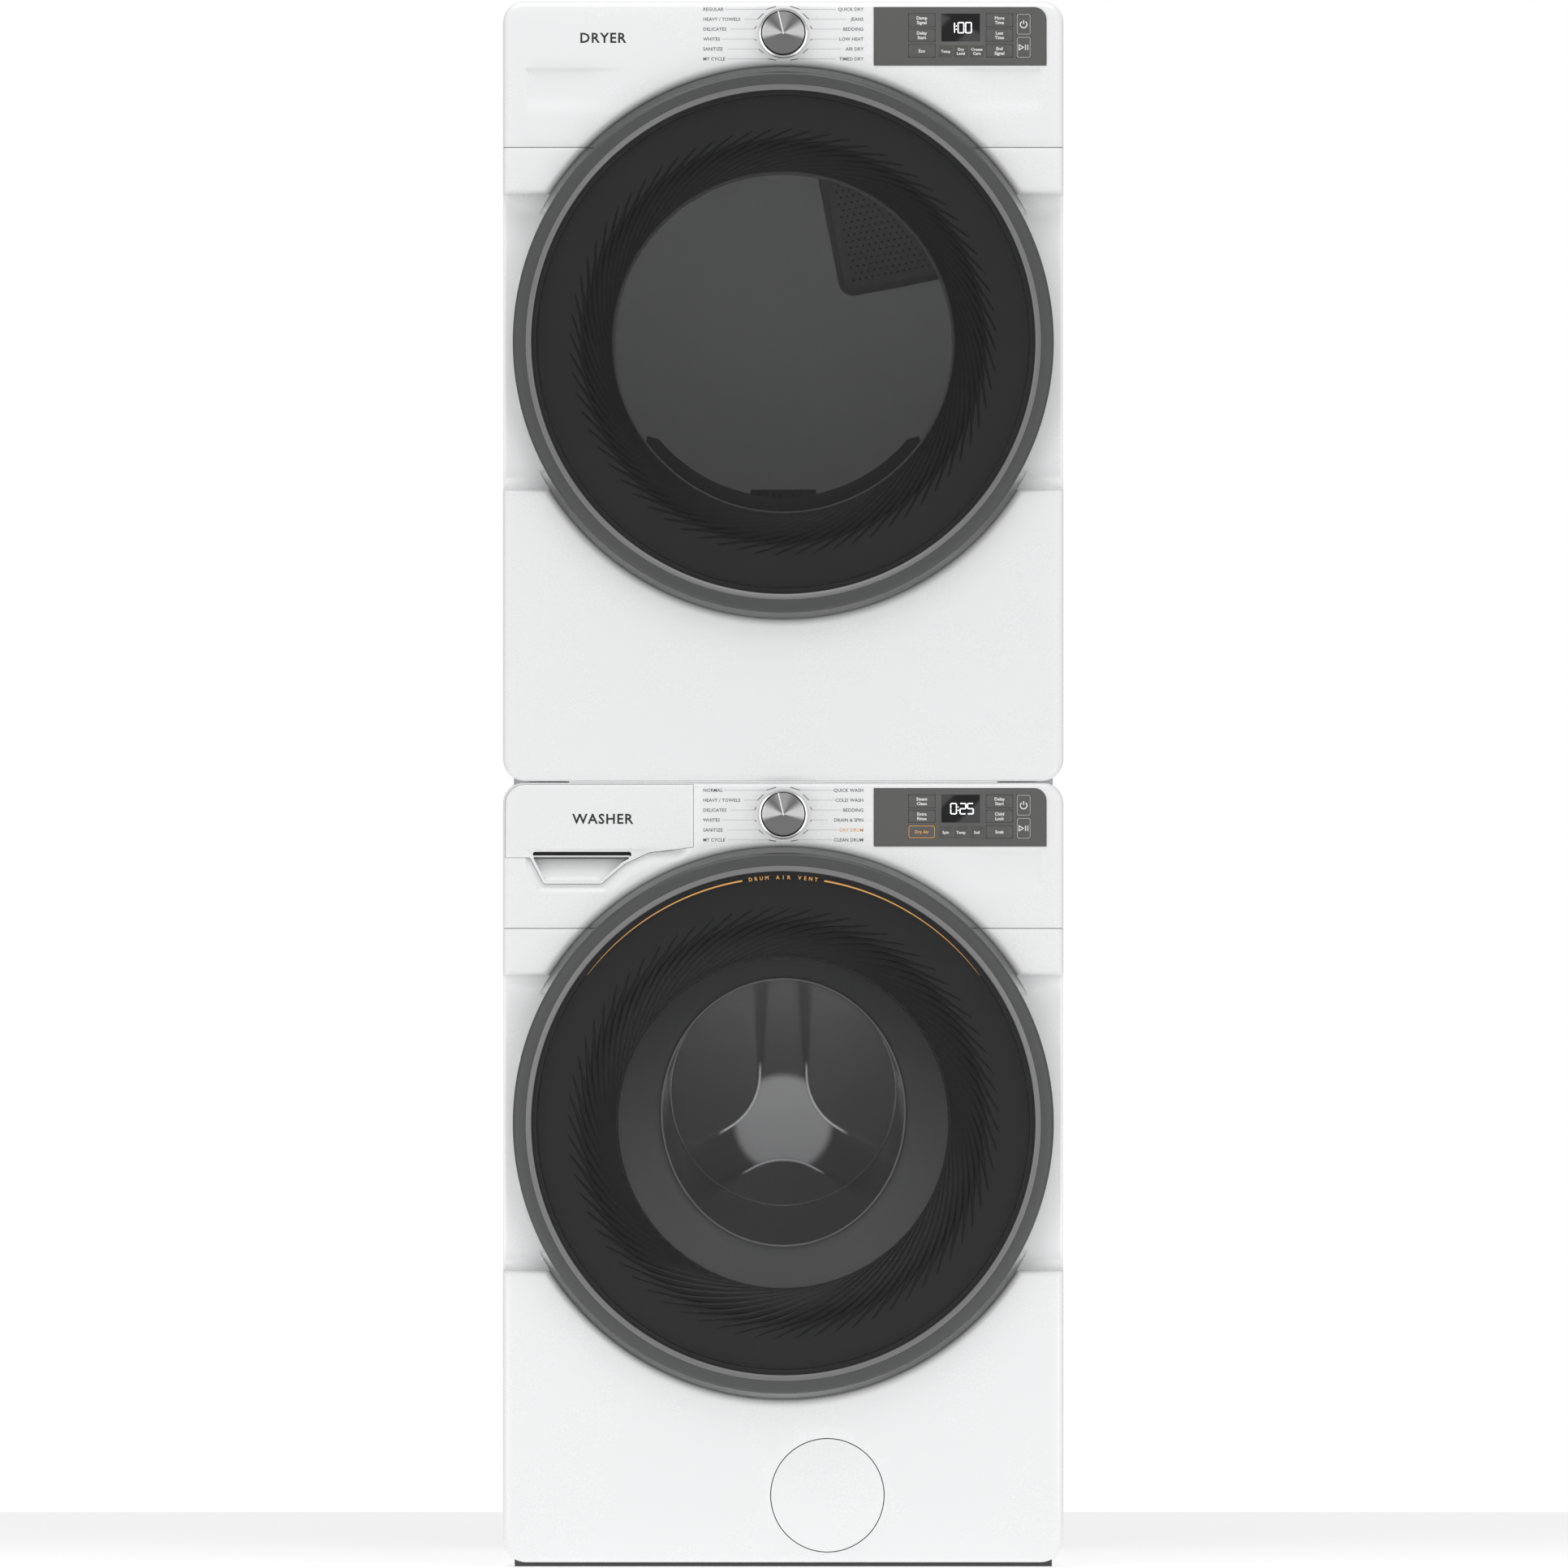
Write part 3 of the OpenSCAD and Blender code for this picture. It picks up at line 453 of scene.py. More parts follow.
def filleted(corners: Sequence[tuple[float, float, float]], steps: int = 5) -> list[Point]:
    """Rounds the corners of a closed outline.

    Args:
        corners: The corners as two coordinates and a radius.
        steps: Segments of each round.

    Returns:
        The outline's points.
    """
    made: list[Point] = []
    for i, (px, pz, radius) in enumerate(corners):
        here = Vector((px, pz))
        back = (Vector(corners[i - 1][:2]) - here).normalized()
        on = (Vector(corners[(i + 1) % len(corners)][:2]) - here).normalized()
        if radius <= 0:
            made.append((px, pz))
            continue
        half = math.acos(max(-1.0, min(1.0, back.dot(on)))) / 2
        reach = radius / math.tan(half)
        middle = here + (back + on).normalized() * (radius / math.sin(half))
        start, end = here + back * reach, here + on * reach
        a0 = math.atan2(*(start - middle).yx)
        sweep = (math.atan2(*(end - middle).yx) - a0 + math.pi) % (2 * math.pi) - math.pi
        for k in range(steps + 1):
            a = a0 + sweep * k / steps
            made.append((middle.x + radius * math.cos(a), middle.y + radius * math.sin(a)))
    return made


def round_cornered(x: Point, z: Point, radius: float, steps: int = 5) -> list[Point]:
    """A rectangle between limits, counter-clockwise, with its corners rounded."""
    corners = ((x[0], z[0]), (x[1], z[0]), (x[1], z[1]), (x[0], z[1]))
    return filleted([(*corner, radius) for corner in corners], steps)


def split(points: Sequence[Point], longest: float, closed: bool = True) -> list[Point]:
    """The same line with no stretch longer than this."""
    ends = list(points[1:]) + ([points[0]] if closed else [])
    made: list[Point] = []
    for (x0, z0), (x1, z1) in zip(points, ends):
        count = max(1, math.ceil(math.hypot(x1 - x0, z1 - z0) / longest))
        made += [(x0 + (x1 - x0) * k / count, z0 + (z1 - z0) * k / count) for k in range(count)]
    return made if closed else [*made, points[-1]]


def contains(outline: Sequence[Point], x: float, z: float) -> bool:
    """True if the closed outline holds the point."""
    found = False
    for (x0, z0), (x1, z1) in zip(outline, [*outline[1:], outline[0]]):
        if (z0 > z) != (z1 > z) and x < (x1 - x0) * (z - z0) / (z1 - z0) + x0:
            found = not found
    return found


def distance(outline: Sequence[Point], x: float, z: float) -> float:
    """Distance from a point to a closed outline."""
    best = math.inf
    for (x0, z0), (x1, z1) in zip(outline, [*outline[1:], outline[0]]):
        dx, dz = x1 - x0, z1 - z0
        t = min(1.0, max(0.0, ((x - x0) * dx + (z - z0) * dz) / max(dx * dx + dz * dz, 1e-9)))
        best = min(best, math.hypot(x - x0 - dx * t, z - z0 - dz * t))
    return best


def grown(outline: Sequence[Point], by: float) -> list[Point]:
    """A counter-clockwise outline moved outwards by a small distance."""
    made: list[Point] = []
    count = len(outline)
    for i in range(count):
        a, b, c = (Vector(outline[(i + k) % count]) for k in (-1, 0, 1))
        first = Vector(((b - a).y, (a - b).x)).normalized()
        second = Vector(((c - b).y, (b - c).x)).normalized()
        middle = (first + second).normalized()
        moved = b + middle * (by / max(0.4, middle.dot(first)))
        made.append((moved.x, moved.y))
    return made


# --- Meshes ---


def linked(name: str, data: bpy.types.ID) -> bpy.types.Object:
    """A new object in the scene."""
    made = bpy.data.objects.new(name, data)
    bpy.context.scene.collection.objects.link(made)
    return made


class Blank:
    """Geometry in millimetres that becomes one finished piece."""

    def __init__(self) -> None:
        """Starts with nothing."""
        self.mesh = bmesh.new()

    def faces(self, points: Sequence[Sequence[float]], faces: Iterable[Sequence[int]]) -> None:
        """Adds points and the faces between them."""
        verts = [self.mesh.verts.new(p) for p in points]
        for face in faces:
            corners = [verts[i] for i in face]
            if len(set(corners)) > 2:
                self.mesh.faces.new(corners)

    def loft(self, rings: Sequence[Sequence[Sequence[float]]], closed: bool = False) -> None:
        """Joins rings of equally many points, and the last to the first if closed."""
        count = len(rings[0])
        last = len(rings) if closed else len(rings) - 1
        self.faces(
            [p for ring in rings for p in ring],
            [
                (
                    i * count + k,
                    i * count + (k + 1) % count,
                    (i + 1) % len(rings) * count + (k + 1) % count,
                    (i + 1) % len(rings) * count + k,
                )
                for i in range(last)
                for k in range(count)
            ],
        )

    def turned(self, profile: Sequence[Point], x: float, z: float, steps: int = 192) -> None:
        """Turns a closed profile of radius and y about a fore-and-aft axis through x, z."""
        angles = [math.tau * k / steps for k in range(steps)]
        self.loft(
            [[(x + r * math.cos(a), y, z + r * math.sin(a)) for a in angles] for r, y in profile],
            closed=True,
        )

    def prism(self, outline: Sequence[Point], y0: float, y1: float, soft: float = 0.0) -> None:
        """Adds an outline's solid from y0 back to y1, its front edge rounded by soft."""
        layers = [(0.0, y1), (0.0, y0)]
        if soft:
            layers = [(0.0, y1), (0.0, y0 + soft), (-0.3 * soft, y0 + 0.3 * soft), (-soft, y0)]
        rings = [[(px, y, pz) for px, pz in grown(outline, by)] for by, y in layers]
        self.loft(rings)
        for ring in (rings[0], rings[-1]):
            self.faces(ring, [range(len(ring))])

    def block(self, x: Point, y: Point, z: Point, soft: float = 0.8) -> None:
        """Adds a block between limits, with all its edges rounded."""
        made = bmesh.ops.create_cube(self.mesh, size=1.0)["verts"]
        size = Vector((x[1] - x[0], y[1] - y[0], z[1] - z[0]))
        middle = Vector((sum(x), sum(y), sum(z))) / 2
        for v in made:
            v.co = middle + Vector(a * b for a, b in zip(v.co, size))
        edges = {e for v in made for e in v.link_edges}
        bmesh.ops.bevel(self.mesh, geom=list(edges), offset=soft, segments=2, profile=0.5, affect="EDGES")

    def ribbon(self, line: Sequence[Point], widths: float | Sequence[float], y: float, thick: float = 0.06,
               closed: bool = False) -> None:
        """Adds a thin strip along a line, its front at y less its thickness.

        Args:
            line: The middle of the strip.
            widths: Its width, or one for each point.
            y: The surface that it lies on.
            thick: How far it stands off that surface.
            closed: True if the line's end meets its start.
        """
        count = len(line)
        sizes = [widths] * count if isinstance(widths, (int, float)) else widths
        rings = []
        for i, (px, pz) in enumerate(line):
            before = Vector(line[i - 1] if i or closed else line[i])
            after = Vector(line[(i + 1) % count] if i < count - 1 or closed else line[i])
            here = Vector((px, pz))
            ways = [w.normalized() for w in (here - before, after - here) if w.length > 1e-6]
            way = sum(ways, Vector((0, 0))).normalized()
            reach = sizes[i] / 2 / max(0.5, way.dot(ways[0]))
            side = Vector((-way.y, way.x)) * reach
            a, b = here + side, here - side
            rings.append([(a.x, y - thick, a.y), (b.x, y - thick, b.y), (b.x, y, b.y), (a.x, y, a.y)])
        self.loft(rings, closed=closed)
        if not closed:
            for ring in (rings[0], rings[-1]):
                self.faces(ring, [range(4)])

    def add(self, mesh: bpy.types.Mesh, matrix: Matrix | None = None) -> None:
        """Adds a mesh in millimetres, moved by a matrix, and deletes it."""
        if matrix:
            mesh.transform(matrix)
        self.mesh.from_mesh(mesh)
        bpy.data.meshes.remove(mesh)

    def word(self, text: str, x: float, z: float, y: float, height: float, anchor: str = "LEFT",
             track: float = 1.0, weight: float = -0.004, turn: float = 0.0) -> None:
        """Prints a word.

        Args:
            text: The word.
            x: Its left end, right end or middle, as anchor says.
            z: The middle of its capitals.
            y: The surface that it is printed on.
            height: Height of its capitals.
            anchor: LEFT, RIGHT or CENTER.
            track: Spacing of its letters.
            weight: How much its strokes are thickened, as a share of the height.
            turn: How far it is turned anticlockwise, in degrees.
        """
        curve = bpy.data.curves.new("word", "FONT")
        curve.body, curve.size, curve.align_x = text, height * 1.43, anchor
        curve.space_character, curve.resolution_u = track, 2
        curve.offset, curve.extrude = weight * height, 0.03
        item = linked("word", curve)
        made = bpy.data.meshes.new_from_object(item.evaluated_get(bpy.context.evaluated_depsgraph_get()))
        bpy.data.objects.remove(item)
        bpy.data.curves.remove(curve)
        stand = Matrix.Rotation(math.radians(-turn), 4, "Y") @ Matrix.Rotation(math.pi / 2, 4, "X")
        drop = Matrix.Translation((0, -height / 2, 0))
        self.add(made, Matrix.Translation((x, y - 0.03, z)) @ stand @ drop)

    def piece(self, name: str, finish: Finish, body: str, replaces: Sequence[str] = (),
              angle: float = 32.0, outward: bool = True) -> None:
        """Finishes the mesh, dresses it and puts it on a body.

        Args:
            name: The piece's name.
            finish: Its material.
            body: The body that it rides on.
            replaces: CAD nodes that it stands for.
            angle: Edges sharper than this stay crisp, in degrees.
            outward: True if its normals are to be worked out afresh.
        """
        bmesh.ops.remove_doubles(self.mesh, verts=self.mesh.verts, dist=0.002)
        if outward:
            bmesh.ops.recalc_face_normals(self.mesh, faces=self.mesh.faces)
        bmesh.ops.scale(self.mesh, vec=(MM, MM, MM), verts=self.mesh.verts)
        data = bpy.data.meshes.new(name)
        self.mesh.to_mesh(data)
        self.mesh.free()
        dressed(data, name, finish, body, replaces, angle)


def dressed(data: bpy.types.Mesh, name: str, finish: Finish, body: str, replaces: Sequence[str] = (),
            angle: float = 32.0) -> bpy.types.Object:
    """Makes a piece of a mesh in metres.

    Args:
        data: The mesh, in place.
        name: The piece's name.
        finish: Its material.
        body: The body that it rides on.
        replaces: CAD nodes that it stands for.
        angle: Edges sharper than this stay crisp, in degrees.

    Returns:
        The piece's object.
    """
    data.name = name
    data.materials.clear()
    data.materials.append(finish.material())
    data.shade_smooth()
    data.set_sharp_from_angle(angle=math.radians(angle))
    made = linked(name, data)
    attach(made, body)
    if replaces:
        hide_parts(*replaces)
    log.info("%s on %s: %d faces, %s", name, body, len(data.polygons), finish.name)
    return made


@dataclass
class Relief:
    """A moulded face: triangles between guide lines, each point at its own depth."""

    front: float
    depth: Callable[[float, float], float]
    inside: Callable[[float, float], bool]
    loops: list[list[Point]] = field(default_factory=list)
    lines: list[list[Point]] = field(default_factory=list)
    dots: list[Point] = field(default_factory=list)

    def blank(self, rim_back: float | None = None, on_rim: Callable[[float, float], bool] | None = None,
              thick: float = 2.0) -> Blank:
        """Triangulates the face and gives it a wall.

        Args:
            rim_back: How far back the outer side wall runs, or None for no side wall.
            on_rim: True for a point on the outer edge.
            thick: The wall's thickness.

        Returns:
            The closed shell.
        """
        points: list[Vector] = []
        edges: list[tuple[int, int]] = []
        for line, closed in [(c, True) for c in self.loops] + [(c, False) for c in self.lines]:
            base = len(points)
            points += [Vector(p) for p in line]
            edges += [(base + i, base + i + 1) for i in range(len(line) - 1)]
            if closed:
                edges.append((base + len(line) - 1, base))
        points += [Vector(p) for p in self.dots]
        flat, _, cells, *_ = delaunay_2d_cdt(points, edges, [], 0, 1e-3)
        kept = []
        for cell in cells:
            middle = sum((flat[i] for i in cell), Vector((0, 0))) / len(cell)
            if self.inside(middle.x, middle.y):
                kept.append(cell)
        used = sorted({i for cell in kept for i in cell})
        place = {i: k for k, i in enumerate(used)}
        made = Blank()
        made.faces(
            [(flat[i].x, self.front + self.depth(flat[i].x, flat[i].y), flat[i].y) for i in used],
            [[place[i] for i in cell] for cell in kept],
        )
        mesh = made.mesh
        mesh.normal_update()
        if sum(f.normal.y * f.calc_area() for f in mesh.faces) > 0:
            bmesh.ops.reverse_faces(mesh, faces=mesh.faces)
        if rim_back is not None and on_rim is not None:
            rim = [e for e in mesh.edges if e.is_boundary and all(on_rim(v.co.x, v.co.z) for v in e.verts)]
            grown_edges = bmesh.ops.extrude_edge_only(mesh, edges=rim)["geom"]
            for v in (g for g in grown_edges if isinstance(g, bmesh.types.BMVert)):
                v.co.y = rim_back
        bmesh.ops.solidify(mesh, geom=mesh.faces[:] + mesh.edges[:] + mesh.verts[:], thickness=thick)
        return made


# --- Repeats by Geometry Nodes ---


class Pattern(Graph):
    """A Geometry Nodes tree with named inputs, which ends realised and dressed."""

    def __init__(self, name: str, inputs: dict[str, float | int | Sequence[float]]) -> None:
        """Starts the tree.

        Args:
            name: The tree's name.
            inputs: The inputs by name, with the value that tells each one's kind.
        """
        super().__init__(bpy.data.node_groups.new(name, "GeometryNodeTree"))
        face = self.tree.interface
        face.new_socket(name="Geometry", in_out="OUTPUT", socket_type="NodeSocketGeometry")
        face.new_socket(name="Geometry", in_out="INPUT", socket_type="NodeSocketGeometry")
        self.keys: dict[str, str] = {}
        for key, value in inputs.items():
            kind = "Float" if isinstance(value, float) else "Int" if isinstance(value, int) else "Vector"
            made = face.new_socket(name=key, in_out="INPUT", socket_type=f"NodeSocket{kind}")
            self.keys[key] = made.identifier
        made = face.new_socket(name="Material", in_out="INPUT", socket_type="NodeSocketMaterial")
        self.keys["Material"] = made.identifier
        self.source = self.tree.nodes.new("NodeGroupInput")

    def given(self, name: str) -> Signal:
        """A named input."""
        return Signal(self, self.source.outputs[name])

    def ordinal(self) -> Signal:
        """Each point's number."""
        return self.node("GeometryNodeInputIndex")

    def moved(self, geometry: Signal, by: Value) -> Signal:
        """The geometry, moved."""
        return self.node("GeometryNodeTransform", {"Geometry": geometry, "Translation": by})

    def cylinder(self, sides: int, radius: Value, depth: Value) -> Signal:
        """A cylinder along Z."""
        size = {"Vertices": sides, "Radius": radius, "Depth": depth}
        return self.node("GeometryNodeMeshCylinder", size, "Mesh")

    def cone(self, sides: int, low: Value, top: Value, depth: Value) -> Signal:
        """A cone along Z, with its two radii."""
        size = {"Vertices": sides, "Radius Top": top, "Radius Bottom": low, "Depth": depth}
        return self.node("GeometryNodeMeshCone", size, "Mesh")

    def repeat(self, points: Signal, shape: Signal, turn: Value) -> Signal:
        """The shape on every point, turned."""
        return self.node(
            "GeometryNodeInstanceOnPoints", {"Points": points, "Instance": shape, "Rotation": turn}
        )

    def close(self, geometry: Signal) -> "Pattern":
        """Ends the tree in its realised, dressed geometry."""
        whole = self.node("GeometryNodeRealizeInstances", {"Geometry": geometry})
        painted = self.node(
            "GeometryNodeSetMaterial", {"Geometry": whole, "Material": self.given("Material")}
        )
        self.end("NodeGroupOutput", "Geometry", painted)
        return self

    def grow(self, name: str, finish: Finish, body: str, values: dict[str, float | int | Sequence[float]],
             seeds: Sequence[Sequence[float]] = ()) -> None:
        """Makes a piece from the tree.

        Args:
            name: The piece's name.
            finish: Its material.
            body: The body that it rides on.
            values: The tree's inputs, lengths in metres.
            seeds: Points that the tree starts from, in millimetres.
        """
        start = bpy.data.meshes.new("seeds")
        start.from_pydata([[c * MM for c in p] for p in seeds], [], [])
        carrier = linked("carrier", start)
        grower = carrier.modifiers.new("pattern", "NODES")
        grower.node_group = self.tree
        for key, value in {**values, "Material": finish.material()}.items():
            grower[self.keys[key]] = value
        carrier.update_tag()
        view = bpy.context.evaluated_depsgraph_get()
        made = bpy.data.meshes.new_from_object(carrier.evaluated_get(view))
        bpy.data.objects.remove(carrier)
        bpy.data.meshes.remove(start)
        for layer in [a.name for a in made.attributes if a.name.startswith("UV")]:
            made.attributes.remove(made.attributes[layer])
        dressed(made, name, finish, body)


def flute_pattern() -> Pattern:
    """Tapering flutes that sweep round a cone, like the blades of an iris."""
    tree = Pattern("swirl_of_flutes", {
        "Count": 1, "Inner Radius": 1.0, "Outer Radius": 1.0, "Inner Depth": 1.0, "Outer Depth": 1.0,
        "Sweep": 1.0, "Thickness": 1.0, "Centre": (0, 0, 0),
    })
    line = tree.node("GeometryNodeCurvePrimitiveLine", {"End": (1.0, 0.0, 0.0)})
    line = tree.node("GeometryNodeResampleCurve", {"Curve": line, "Count": 12})
    along = tree.node("GeometryNodeSplineParameter", output="Factor")
    inner, outer = tree.given("Inner Radius"), tree.given("Outer Radius")
    radius = inner + (outer - inner) * along ** 1.25
    angle = tree.given("Sweep") * (1 - (1 - along) ** 1.15)
    y = tree.given("Inner Depth") + (tree.given("Outer Depth") - tree.given("Inner Depth")) * (
        (radius - inner) / (outer - inner)
    )
    place = tree.vector(
        radius * tree.function("COSINE", angle), y, radius * tree.function("SINE", angle)
    )
    line = tree.node("GeometryNodeSetPosition", {"Geometry": line, "Position": place})
    taper = tree.function("SINE", along * 2.85 + 0.22) * tree.given("Thickness") + 0.0001
    ring = tree.node("GeometryNodeCurvePrimitiveCircle", {"Resolution": 8, "Radius": 1.0})
    line = tree.node("GeometryNodeSetCurveRadius", {"Curve": line, "Radius": taper})
    blade = tree.node(
        "GeometryNodeCurveToMesh",
        {"Curve": line, "Profile Curve": ring, "Fill Caps": True, "Scale": taper},
    )
    points = tree.node("GeometryNodePoints", {"Count": tree.given("Count")})
    turn = tree.vector(0.0, tree.ordinal() * math.tau / tree.given("Count"), 0.0)
    whole = tree.repeat(points, blade, turn)
    return tree.close(tree.moved(whole, tree.given("Centre")))


def wall_hole_pattern() -> Pattern:
    """Staggered rows of small round holes' mouths round the inside of a drum."""
    tree = Pattern("drum_wall_holes", {
        "Columns": 1, "Rows": 1, "Radius": 1.0, "First": 1.0, "Step": 1.0, "Hole": 1.0, "Centre": (0, 0, 0),
    })
    columns = tree.given("Columns")
    points = tree.node("GeometryNodePoints", {"Count": columns * tree.given("Rows")})
    row = tree.function("FLOOR", tree.ordinal() / columns + 0.0001)
    angle = (tree.ordinal() + row * 0.5) * math.tau / columns
    radius = tree.given("Radius")
    place = tree.vector(
        radius * tree.function("COSINE", angle), tree.given("First") + row * tree.given("Step"),
        radius * tree.function("SINE", angle),
    )
    points = tree.node("GeometryNodeSetPosition", {"Geometry": points, "Position": place})
    hole = tree.cylinder(8, tree.given("Hole"), 0.0006)
    hole = tree.node("GeometryNodeTransform", {"Geometry": hole, "Rotation": (0.0, math.pi / 2, 0.0)})
    whole = tree.repeat(points, hole, tree.vector(0.0, 0 - angle, 0.0))
    return tree.close(tree.moved(whole, tree.given("Centre")))


def stud_pattern() -> Pattern:
    """A hexagon-headed screw with a washer on every seed point, its head towards Facing."""
    tree = Pattern("screw_heads", {"Radius": 1.0, "Height": 1.0, "Facing": (0, 0, 0)})
    radius, height = tree.given("Radius"), tree.given("Height")
    washer = tree.cylinder(20, radius, height * 0.5)
    head = tree.cone(6, radius * 0.7, radius * 0.62, height)
    socket = tree.cone(12, radius * 0.4, radius * 0.28, height * 0.15)
    socket = tree.moved(socket, tree.vector(0.0, 0.0, height))
    joined = tree.tree.nodes.new("GeometryNodeJoinGeometry")
    for part in (washer, head, socket):
        tree.tree.links.new(part.socket, joined.inputs[0])
    whole = tree.repeat(tree.given("Geometry"), Signal(tree, joined.outputs[0]), tree.given("Facing"))
    return tree.close(whole)


def dot_pattern() -> Pattern:
    """A small flat hole's mouth on every seed point, facing along Y."""
    tree = Pattern("plate_holes", {"Hole": 1.0})
    hole = tree.cylinder(10, tree.given("Hole"), 0.0004)
    return tree.close(tree.repeat(tree.given("Geometry"), hole, (math.pi / 2, 0.0, 0.0)))


def rib_pattern() -> Pattern:
    """A round-backed rib from each seed point, as long as Reach."""
    tree = Pattern("ribs", {"Reach": (0, 0, 0), "Width": 1.0})
    line = tree.node("GeometryNodeCurvePrimitiveLine", {"End": tree.given("Reach")})
    ring = tree.node(
        "GeometryNodeCurvePrimitiveCircle", {"Resolution": 8, "Radius": tree.given("Width")}
    )
    rib = tree.node(
        "GeometryNodeCurveToMesh", {"Curve": line, "Profile Curve": ring, "Fill Caps": True}
    )
    return tree.close(tree.repeat(tree.given("Geometry"), rib, (0.0, 0.0, 0.0)))


# --- Where the machines stand ---


def corners_of(node: str) -> tuple[Vector, Vector]:
    """Low and high corners of a frame node's box, in millimetres."""
    low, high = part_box(node)
    return low / MM, high / MM


@dataclass(frozen=True)
class Machine:
    """One machine's place in the frame."""

    name: str
    low: float
    high: float
    half: float
    front: float
    centre: float
    corner_top: float = 26.0
    corner_foot: float = 28.0
    dial_drop: float = 39.0

    @property
    def dial_z(self) -> float:
        """Height of the dial's axis."""
        return self.high - self.dial_drop

    @classmethod
    def found(cls, name: str) -> "Machine":
        """Reads a machine's place from the frame."""
        low, high = corners_of(f"{name}_front_panel")
        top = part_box(f"{name}_console")[1].z / MM
        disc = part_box(f"{name}_door_cover")
        return cls(name, low.z, top, high.x, low.y, (disc[0].z + disc[1].z) / 2 / MM)

    def inset(self, x: float, z: float) -> float:
        """How far inside the front view's outline a point lies."""
        middle = (self.low + self.high) / 2
        radius = self.corner_top if z > middle else self.corner_foot
        across = abs(x) - (self.half - radius)
        up = abs(z - middle) - ((self.high - self.low) / 2 - radius)
        outer = math.hypot(max(across, 0.0), max(up, 0.0))
        return radius - outer - min(max(across, up), 0.0)

    def outline(self, inset: float) -> list[Point]:
        """The front view's outline, drawn in, counter-clockwise."""
        side, top, foot = self.half - inset, self.corner_top - inset, self.corner_foot - inset
        low, high = self.low + inset, self.high - inset
        corners = [(side, low, foot), (side, high, top), (-side, high, top), (-side, low, foot)]
        return split(filleted(corners, 9), 30.0)


# --- Front shells ---


